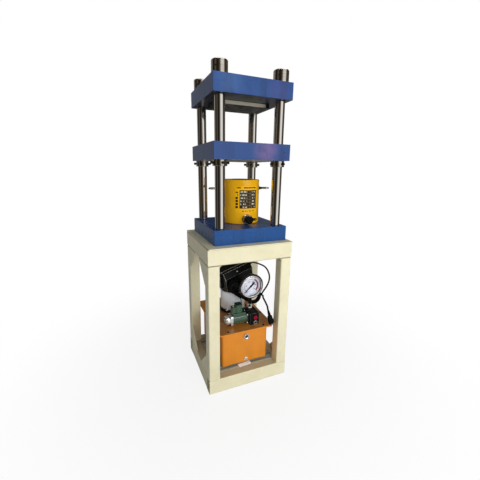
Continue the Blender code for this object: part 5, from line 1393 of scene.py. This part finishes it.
class PRESS_OT_control_box(Operator):
    """Make the leaning control box, its cover, base and cable gland"""

    bl_idname = "press.control_box"
    bl_label = "Control box"

    def execute(self, context):
        place = box_place()
        cover = block("box_cover", (0, -0.0063, BOX_FOOT), (0.198, 0.0447, BOX_TOP))
        for normal in ((0, -0.9975, 0.0711), (0, -0.0304, 0.0232)):
            cover = trimmed(cover, (0, 0, 0), normal)
        finished(cover, "black", ("control_box_cover",), edge=0.0010, place=place, angle=25)
        base = block("box_base", (-0.013, 0.045, BOX_FOOT), (0.211, 0.110, BOX_TOP), 1, 0.005, 5)
        finished(base, "black", ("control_box_base",), edge=0.0010, place=place)
        self.build_marks(place)
        self.build_gland(place)
        return {"FINISHED"}

    def build_marks(self, place):
        """Switch lens on the upper facet and the cover's four screws."""
        facet = place @ shifted(0.092, 0.0116, 0.0152) @ spun(52.6, "X")
        steps = [(0.0042, -0.001), (0.0042, 0.0008), (0.0034, 0.0018), (0.002, 0.0022)]
        lens = moved(turned("switch_lens", steps, SMALL), sized(1.35, 0.9, 1))
        finished(lens, "zinc", place=facet, angle=60)
        spots = [
            place @ shifted(x, z * 0.0713, z) @ spun(94.1, "X")
            for x in (0.010, 0.188) for z in (-0.078, -0.012)
        ]
        repeated("box_screws", cap_screw(0.007, 0.0022, 20), spots, "oxide", 0.0002)

    def build_gland(self, box):
        place = box @ shifted(*GLAND) @ spun(90, "Y")
        nut = turned("nut", [(0.0128, 0), (0.0138, 0.0008), (0.0138, 0.0072), (0.0128, 0.008)], 6)
        steps = [(0.0092, 0.0075), (0.0092, 0.0165), (0.0087, 0.0185), (0.0072, 0.0205)]
        dome = turned("dome", [*steps, (0.0052, GLAND_REACH), (0.0046, GLAND_REACH)], SMALL)
        finished(joined("gland_body", [nut, dome]), "black", ("cable_gland",), edge=0.0004, place=place)


# Valve

PORT_DEPTH = 0.009
FLANGE_SIDE = 0.062
FLANGE_FACE = 0.0083
COIL_RADIUS = 0.0278
COIL_ENDS = (0.0086, 0.0966)
RIB_PITCH = 22.5
RIB_GAP = 9.0
END_SIDE = 0.060
END_FACES = (0.0969, 0.1109)


class PRESS_OT_valve(Operator):
    """Make the manifold with its ports and the solenoid valve on its left"""

    bl_idname = "press.valve"
    bl_label = "Manifold and valve"

    def execute(self, context):
        low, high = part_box("manifold_block")
        middle = (low + high) / 2
        body = block("manifold_body", low, high, 2, 0.002, 4)
        finished(body, "cast_black", ("manifold_block",), edge=0.0013, segments=3)
        self.build_ports(middle.x, low)
        spots = at_corners(shifted(middle.x, middle.y - 0.0115, high.z), 0.020, 0.0235)
        repeated("manifold_screws", cap_screw(0.009, 0.004), spots, "oxide")
        place = shifted(low.x, middle.y, low.z + 0.0347) @ spun(-90, "Y")
        sections = [(FLANGE_SIDE, FLANGE_SIDE, height) for height in (SEAT, FLANGE_FACE)]
        flange = slab("valve_flange", sections, 0.008)
        finished(flange, "cast_black", ("solenoid_flange",), edge=0.0008, segments=3, place=place)
        spots = at_corners(place, 0.0245, 0.0245, FLANGE_FACE)
        repeated("valve_bolts", hex_bolt(0.009, 0.005), spots, "zinc")
        self.build_coil(place)
        self.build_terminal(place)
        self.build_end(place)
        return {"FINISHED"}

    def build_ports(self, middle, low):
        """Red plug and open port in the manifold's front."""
        place = shifted(middle + 0.0044, low.y, low.z + 0.0434) @ spun(90, "X")
        steps = [(0.0078, -PORT_DEPTH), (0.0078, SEAT), (0.0122, SEAT), (0.0122, 0.0028), (0.0114, 0.0042)]
        steps += [(0.0100, 0.0046), (0.0092, 0.0032), (0.0056, 0.0032), (0.0050, 0.0040)]
        plug = bored(turned("red_plug", steps), 0.0034, 0.0012, 0.0080, [shifted()], 6)
        finished(plug, "red", ("red_port_plug",), edge=0.0003, place=place)
        place = shifted(middle + 0.0053, low.y, low.z + 0.0125) @ spun(90, "X")
        steps = [(0.0090, -PORT_DEPTH), (0.0090, SEAT), (0.01125, SEAT), (0.01125, 0.0026), (0.0106, 0.0036)]
        steps += [(0.0092, 0.0038), (0.0084, 0.0028), (0.0084, -0.005)]
        lathed("port_ring", steps, "zinc", ("port_fitting",), edge=0.0003, place=place)
        # Dark disc at the port's floor: painted shade.
        lathed("port_floor", [(0.0083, 0.0012), (0.0083, 0.0018)], "painted_shade", (), SMALL, place=place)

    def build_coil(self, place):
        """Coil with shallow ribs along it, on the bed that carries the terminal box."""
        start, end = COIL_ENDS
        radius, middle, bevel = COIL_RADIUS, (start + end) / 2, 0.001
        steps = [(radius - bevel, start), (radius, start + bevel)]
        steps += [(radius, end - bevel), (radius - bevel, end)]
        opened(turned("coil", steps, FINE))
        bpy.ops.mesh.select_mode(type="FACE")

        def on_rib(face):
            if abs(face.normal.z) > 0.5 or face.calc_area() < 1e-6:
                return False
            angle = math.degrees(math.atan2(face.normal.y, face.normal.x)) % RIB_PITCH
            return angle > RIB_GAP and abs(face.calc_center_median().z - middle) < 0.01

        pick("faces", on_rib)
        bpy.ops.mesh.extrude_region_shrink_fatten(TRANSFORM_OT_shrink_fatten={"value": 0.0012})
        bpy.ops.mesh.select_mode(type="VERT")
        coil = closed_shape("coil")
        bed = block("bed", (0.0145, -0.0225, start + 0.010), (0.041, 0.0225, start + 0.085), 2, 0.002, 3)
        finished(joined("valve_coil", [coil, bed]), "green", ("solenoid_coil",), edge=0.0005, place=place)

    def build_terminal(self, place):
        """Terminal box with ribs round it, a raised step at one end, a cap and a slotted screw."""
        parts = [block("case", (0.0413, -0.0184, 0.0386), (0.0860, 0.0184, 0.0754), 0, 0.003, 4)]
        for index in range(5):
            height = 0.050 + 0.007 * index
            parts.append(block("rib", (height, -0.019, 0.038), (height + 0.0028, 0.019, 0.076), 0, 0.003, 4))
        cap = block("cap", (0.0850, -0.0190, 0.0380), (0.0925, 0.0190, 0.0760), 0, 0.003, 4)
        finished(cap, "dark_green", edge=0.0012, segments=3, place=place)
        parts.append(block("step", (0.0413, -0.015, 0.072), (0.0780, 0.015, 0.100), 0, 0.004, 5))
        case = joined("terminal_case", parts)
        finished(case, "green", ("terminal_box",), edge=0.0008, segments=3, place=place)
        screw = turned("terminal_screw", [(0.0055, 0), (0.0055, 0.0022), (0.0046, 0.003)], SMALL)
        screw = drilled(screw, block("slot", (-0.0007, -0.007, 0.0018), (0.0007, 0.007, 0.006)))
        finished(screw, "zinc", edge=0.0003, place=place @ shifted(0.0780, 0, 0.088) @ spun(90, "Y"))

    def build_end(self, place):
        """Bright end plate with a round boss, two sockets in the boss and four screws."""
        start, end = END_FACES
        plate = slab("end", [(END_SIDE, END_SIDE, start), (END_SIDE, END_SIDE, end)], 0.012, 8)
        steps = [(0.0270, end - 0.002), (0.0270, 0.1270), (0.0240, 0.1350), (0.0215, 0.1369)]
        boss = turned("boss", [*steps, (0.0085, 0.1369), (0.0080, 0.1362), (0.0080, 0.1340)])
        sockets = [shifted(side * 0.0155, side * 0.0040) for side in (-1, 1)]
        boss = bored(boss, 0.0042, 0.130, 0.140, sockets, 24)
        end_cap = joined("valve_end", [plate, boss])
        finished(end_cap, "bright_cast", ("solenoid_end_plate",), edge=0.0008, segments=3, place=place)
        # Dark discs at the sockets' floors: painted shade.
        steps = [(0.0040, 0.1342), (0.0040, 0.1346)]
        floors = [moved(turned("floor", steps, 24), socket) for socket in sockets]
        finished(joined("valve_end_recesses", floors), "painted_shade", place=place)
        spots = at_corners(place, 0.0215, 0.0215, end)
        repeated("valve_end_screws", cap_screw(0.0085, 0.005, 20), spots, "oxide")


# Gauge

SCALE_START = 225.0
SCALE_SWEEP = 270.0
SCALE_END = SCALE_START - SCALE_SWEEP
DIAL_FACE = 0.0332
PRINT = 0.0001
NUMBER_RADIUS = 0.0285
NUMBER_SIZE = 0.0112
POINTER_FLOOR = 0.0352

# Stretches of the needle from its tip to its tail, each with its share of the whole width
NEEDLE_WIDTHS = ((0.045, 1, 0.28), (0.022, 0.045, 0.54), (-0.004, 0.022, 0.88), (-1, -0.010, 1.22))

GAUGE_PLACE = (0.0675, -0.042, 0.5267, (90, 0, 0))
STEM_SPOT = (0.0675, -0.066, 0)


class PRESS_OT_gauge(Operator):
    """Assemble the pressure gauge: case, bezel, glass, dial with its scale, pointer and stem"""

    bl_idname = "press.gauge"
    bl_label = "Pressure gauge"

    def execute(self, context):
        place = at(*GAUGE_PLACE)
        steps = [(0.063, 0), (0.0665, 0.0015), (0.068, 0.005), (0.068, 0.035), (0.0735, 0.035)]
        steps += [(0.0745, 0.036), (0.0745, 0.043), (0.0735, 0.044), (0.0663, 0.044), (0.0663, 0.0407)]
        steps += [(0.0623, 0.0407), (0.0623, 0.0317), (0.057, 0.0317), (0.057, 0.006)]
        lathed("gauge_shell", steps, "cast_black", ("gauge_case",), FINEST, edge=0.0004, place=place)
        steps = [(0.0600, 0.0443), (0.0690, 0.0443), (0.0686, 0.0462), (0.0674, 0.0484), (0.0660, 0.0496)]
        steps += [(0.0646, 0.0502), (0.0630, 0.0503), (0.0616, 0.0500), (0.0607, 0.0490), (0.0603, 0.0472)]
        lathed("gauge_rim", steps, "plated", ("gauge_bezel",), FINEST, True, place=place, angle=50)
        steps = [(0.066, 0.041), (0.066, 0.0433), (0.050, 0.0438), (0.030, 0.0440)]
        lathed("gauge_window", steps, "glass", ("gauge_glass",), FINE, place=place, angle=60)
        steps = [(0.0035, 0.032), (0.062, 0.032), (0.062, DIAL_FACE), (0.0035, DIAL_FACE)]
        lathed("dial_plate", steps, "card", ("gauge_dial",), FINE, True, place=place)
        self.build_print(place, context.scene.press_sizes.ticks)
        self.build_pointer(place)
        self.build_stem()
        return {"FINISHED"}

    def build_print(self, place, count):
        """Ticks, numbers, rings and the red arc, raised a hair off the dial."""
        top = DIAL_FACE + PRINT
        thin = block("tick", (0.0520, -0.00018, DIAL_FACE), (0.0550, 0.00018, top))
        thick = block("tick", (0.0495, -0.0005, DIAL_FACE), (0.0550, 0.0005, top))
        marks = []
        for index in range(count + 1):
            angle = SCALE_START - SCALE_SWEEP * index / count
            marks.append(copied(thin if index % 5 else thick, "mark", spun(angle)))
        bpy.data.objects.remove(thin, do_unlink=True)
        bpy.data.objects.remove(thick, do_unlink=True)
        for index in range(6):
            angle = math.radians(SCALE_START - SCALE_SWEEP * index / 5)
            spot = NUMBER_RADIUS * math.cos(angle), NUMBER_RADIUS * math.sin(angle), DIAL_FACE + PRINT / 2
            marks.append(moved(self.number(20 * index), shifted(*spot)))
        marks.append(self.band("ring", 0.0553, 0.0558, SCALE_END, SCALE_START, DIAL_FACE))
        finished(joined("dial_scale", marks), "dark_ink", place=place)
        ring = self.band("dial_fine_ring", 0.0400, 0.0424, SCALE_END, SCALE_START, DIAL_FACE)
        finished(ring, "violet_ink", place=place)
        finished(self.band("dial_red_arc", 0.0385, 0.0478, -44, 60, top), "red_ink", place=place)

    def number(self, value):
        clear()
        bpy.ops.object.text_add()
        text = bpy.context.object.data
        text.body = str(value)
        text.size = NUMBER_SIZE
        text.extrude = PRINT / 2
        text.align_x = text.align_y = "CENTER"
        bpy.ops.object.convert(target="MESH")
        return bpy.context.object

    def band(self, name, inner, outer, start, end, face):
        """Flat arc on the dial between two radii and two angles."""
        clear()
        bpy.ops.mesh.primitive_plane_add(size=1, enter_editmode=True)
        bpy.ops.mesh.delete(type="ONLY_FACE")
        pick("verts", lambda vert: vert.co.y > 0)
        bpy.ops.mesh.delete(type="VERT")
        pick("verts", lambda vert: vert.co.x < 0)
        bpy.ops.transform.translate(value=(inner + 0.5, 0.5, face))
        pick("verts", lambda vert: vert.co.z == 0)
        bpy.ops.transform.translate(value=(outer - 0.5, 0.5, face))
        bpy.ops.mesh.select_all(action="SELECT")
        bpy.ops.transform.rotate(value=-math.radians(start), orient_axis="Z", center_override=(0, 0, 0))
        bpy.ops.mesh.select_all(action="SELECT")
        sweep = end - start
        steps = max(6, round(sweep / 3))
        bpy.ops.mesh.spin(steps=steps, angle=-math.radians(sweep), center=(0, 0, 0), axis=(0, 0, 1))
        return modified(closed_shape(name), "SOLIDIFY", thickness=PRINT, offset=1)

    def build_pointer(self, place):
        """Needle that tapers from its tail to its tip, on a hub whose spindle goes through the dial."""
        low = POINTER_FLOOR
        steps = [(0.002, 0.018), (0.002, low), (0.0065, low), (0.0065, low + 0.0021), (0.0058, low + 0.0028)]
        hub = turned("hub", steps, SMALL)
        clear()
        bpy.ops.mesh.primitive_plane_add(size=1, enter_editmode=True)
        bpy.ops.transform.resize(value=(0.0100, 0.082, 1), center_override=(0, 0, 0))
        bpy.ops.transform.translate(value=(0, 0.0115, low + 0.0004))
        bpy.ops.mesh.subdivide(number_cuts=5)
        for start, end, wide in NEEDLE_WIDTHS:
            pick("verts", lambda vert: start < vert.co.y <= end)
            bpy.ops.transform.resize(value=(wide, 1, 1), center_override=(0, 0, low))
        needle = modified(closed_shape("needle"), "SOLIDIFY", thickness=0.0010, offset=1)
        pointer = joined("pointer_needle", [hub, moved(needle, spun(135))])
        finished(pointer, "needle", ("gauge_pointer",), "pointer", edge=0.00015, place=place)

    def build_stem(self):
        """White seal, hexagon and neck between the manifold and the gauge."""
        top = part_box("manifold_block")[1].z
        place = at(*STEM_SPOT)
        steps = [(0.0083, top + SEAT), (0.0122, top + SEAT), (0.013, top + 0.0012), (0.013, top + 0.0064)]
        steps += [(0.0122, top + 0.0073), (0.0083, top + 0.0073)]
        lathed("seal_ring", steps, "white", ("gauge_seal",), hollow=True, edge=0.0004, place=place)
        low = top + 0.0076
        steps = [(0.0125, low), (0.01385, low + 0.001), (0.01385, low + 0.017), (0.0125, low + 0.018)]
        hexagon = turned("hexagon", steps, 6)
        steps = [(0.008, top - 0.009), (0.008, low), (0.0095, low), (0.0095, low + 0.019)]
        steps += [(0.0100, low + 0.020), (0.0100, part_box("gauge_stem")[1].z)]
        neck = turned("neck", steps, SMALL)
        finished(joined("stem_fitting", [hexagon, neck]), "plated", ("gauge_stem",), edge=0.0003, place=place)
        steps = [(0.0102, low + 0.0185), (0.0110, low + 0.0195), (0.0110, low + 0.064), (0.0102, low + 0.066)]
        lathed("stem_sleeve", steps, "cast_black", (), SMALL, edge=0.0004, place=place)


# Studio

CAMERA = (-0.5807, -1.45175, 1.1768)
CAMERA_TURN = (76.009, -22.88, 0.786)


class PRESS_OT_camera(Operator):
    """Set the camera at the photograph's place"""

    bl_idname = "press.camera"
    bl_label = "Camera"

    def execute(self, context):
        data = bpy.data.cameras.new("camera")
        data.lens = context.scene.press_studio.lens
        data.sensor_width = 36
        data.clip_start = 0.05
        camera = bpy.data.objects.new("camera", data)
        context.scene.collection.objects.link(camera)
        tilt, pan, roll = CAMERA_TURN
        camera.matrix_world = Matrix.Translation(CAMERA) @ spun(pan) @ spun(tilt, "X") @ spun(roll)
        context.scene.camera = camera
        return {"FINISHED"}


class PRESS_OT_studio(Operator):
    """Lay the pale floor and set the lamps and the room light"""

    bl_idname = "press.studio"
    bl_label = "Studio"

    def execute(self, context):
        studio = context.scene.press_studio
        clear()
        bpy.ops.mesh.primitive_plane_add(size=4.6, location=(0, 0, -0.0005))
        floor = bpy.context.object
        floor.name = "studio_floor"
        floor.data.materials.append(self.floor_look(tuple(studio.floor)))
        self.lamp("key_lamp", studio.key, 1.8, (0.5, -2.7, 1.3), (0.0, 0.0, 0.80))
        self.lamp("fill_lamp", studio.fill, 1.8, (-2.4, -0.6, 1.4), (0.0, 0.0, 0.8))
        self.lamp("back_lamp", studio.back, 2.0, (1.6, 2.4, 2.0), (0.0, 0.0, 0.85))
        self.room(context, studio.sky)
        context.scene.view_settings.view_transform = "Standard"
        return {"FINISHED"}

    def floor_look(self, color):
        look = Look("floor_paper")
        tooth = look.noise(60, 3, 0.6)
        look.bump(tooth, 0.0003, 0.2)
        look.set(base_color=look.mix(tooth * 0.2, color, shade(color, 0.96)), roughness=0.9)
        lift = look.node("Emission", {}, {"Color": (1, 1, 1), "Strength": 1.0})
        away = look.measure("LENGTH", look.place())
        path = look.node("LightPath", output="Is Camera Ray")
        share = path * (0.86 + 0.14 * away.steep(0.3, 1.6))
        shown = look.node("MixShader", {}, {0: share, 1: Value(look, look.shader.outputs[0]), 2: lift})
        output = look.tree.nodes["Material Output"]
        look.feed(output.inputs["Surface"], shown)
        return look.material

    def lamp(self, name, power, size, spot, target):
        data = bpy.data.lights.new(name, "AREA")
        data.energy = power
        data.size = size
        lamp = bpy.data.objects.new(name, data)
        lamp.visible_glossy = False
        bpy.context.scene.collection.objects.link(lamp)
        lamp.location = spot
        lamp.rotation_euler = (Vector(target) - Vector(spot)).to_track_quat("-Z", "Y").to_euler()

    def room(self, context, strength):
        """White round the press, with dark flags beside it that only polished metal shows."""
        world = bpy.data.worlds.new("room")
        world.use_nodes = True
        context.scene.world = world
        look = Look("room", world.node_tree)
        way = look.node("TexCoord", output="Generated")
        x = look.part(way, "X")
        y = look.part(way, "Y")
        turn = look.maths("ARCTAN2", y, x) / math.tau + 0.5
        dark, brown, grey, white = (0.02, 0.018, 0.016), (0.13, 0.10, 0.07), (0.32, 0.31, 0.29), (1, 1, 1)
        stops = [
            (0.0, dark), (0.02, brown), (0.06, brown), (0.09, dark), (0.16, dark), (0.205, brown),
            (0.235, grey), (0.255, white), (0.365, white), (0.385, grey), (0.41, dark), (0.50, brown),
            (0.58, dark), (0.64, grey), (0.70, dark), (0.78, grey), (0.86, grey), (0.93, dark), (1.0, dark),
        ]
        panels = look.node("ValToRGB", {"stops": stops}, {"Fac": turn})
        camera = look.node("LightPath", output="Is Camera Ray")
        clear_ray = look.node("LightPath", output="Is Transmission Ray")
        glossy = look.node("LightPath", output="Is Glossy Ray")
        z = look.part(way, "Z")
        tube = z.steep(0.60, 0.63) * (1 - z.steep(0.72, 0.75)) * (y < -0.25)
        panels = look.mix(tube, panels, (6, 6, 6))
        color = look.mix(glossy, (1, 1, 1), panels)
        shown = (camera + clear_ray).clamped()
        color = look.mix(shown, color, (1, 1, 1))
        power = shown + (1 - shown) * (glossy + (1 - glossy) * strength)
        background = world.node_tree.nodes["Background"]
        look.feed(background.inputs["Color"], color)
        look.feed(background.inputs["Strength"], power)


STEPS = (
    PRESS_OT_camera, PRESS_OT_cords, PRESS_OT_stand, PRESS_OT_head, PRESS_OT_jack, PRESS_OT_tank,
    PRESS_OT_motor, PRESS_OT_control_box, PRESS_OT_valve, PRESS_OT_gauge, PRESS_OT_studio,
)


class PRESS_PT_panel(Panel):
    bl_label = "Hydraulic press"
    bl_space_type = "VIEW_3D"
    bl_region_type = "UI"
    bl_category = "Press"

    def draw(self, context):
        for step in STEPS:
            self.layout.operator(step.bl_idname)
        for group in (context.scene.press_paint, context.scene.press_sizes, context.scene.press_studio):
            box = self.layout.box()
            for name in group.__annotations__:
                box.prop(group, name)


CLASSES = (PressPaint, PressSizes, PressStudio, *STEPS, PRESS_PT_panel)


def register():
    for entry in CLASSES:
        bpy.utils.register_class(entry)
    bpy.types.Scene.press_paint = PointerProperty(type=PressPaint)
    bpy.types.Scene.press_sizes = PointerProperty(type=PressSizes)
    bpy.types.Scene.press_studio = PointerProperty(type=PressStudio)


def unregister():
    del bpy.types.Scene.press_studio
    del bpy.types.Scene.press_sizes
    del bpy.types.Scene.press_paint
    for entry in reversed(CLASSES):
        bpy.utils.unregister_class(entry)


def main():
    register()
    clear()
    for step in STEPS:
        group, name = step.bl_idname.split(".")
        getattr(getattr(bpy.ops, group), name)()


if __name__ == "__main__":
    main()
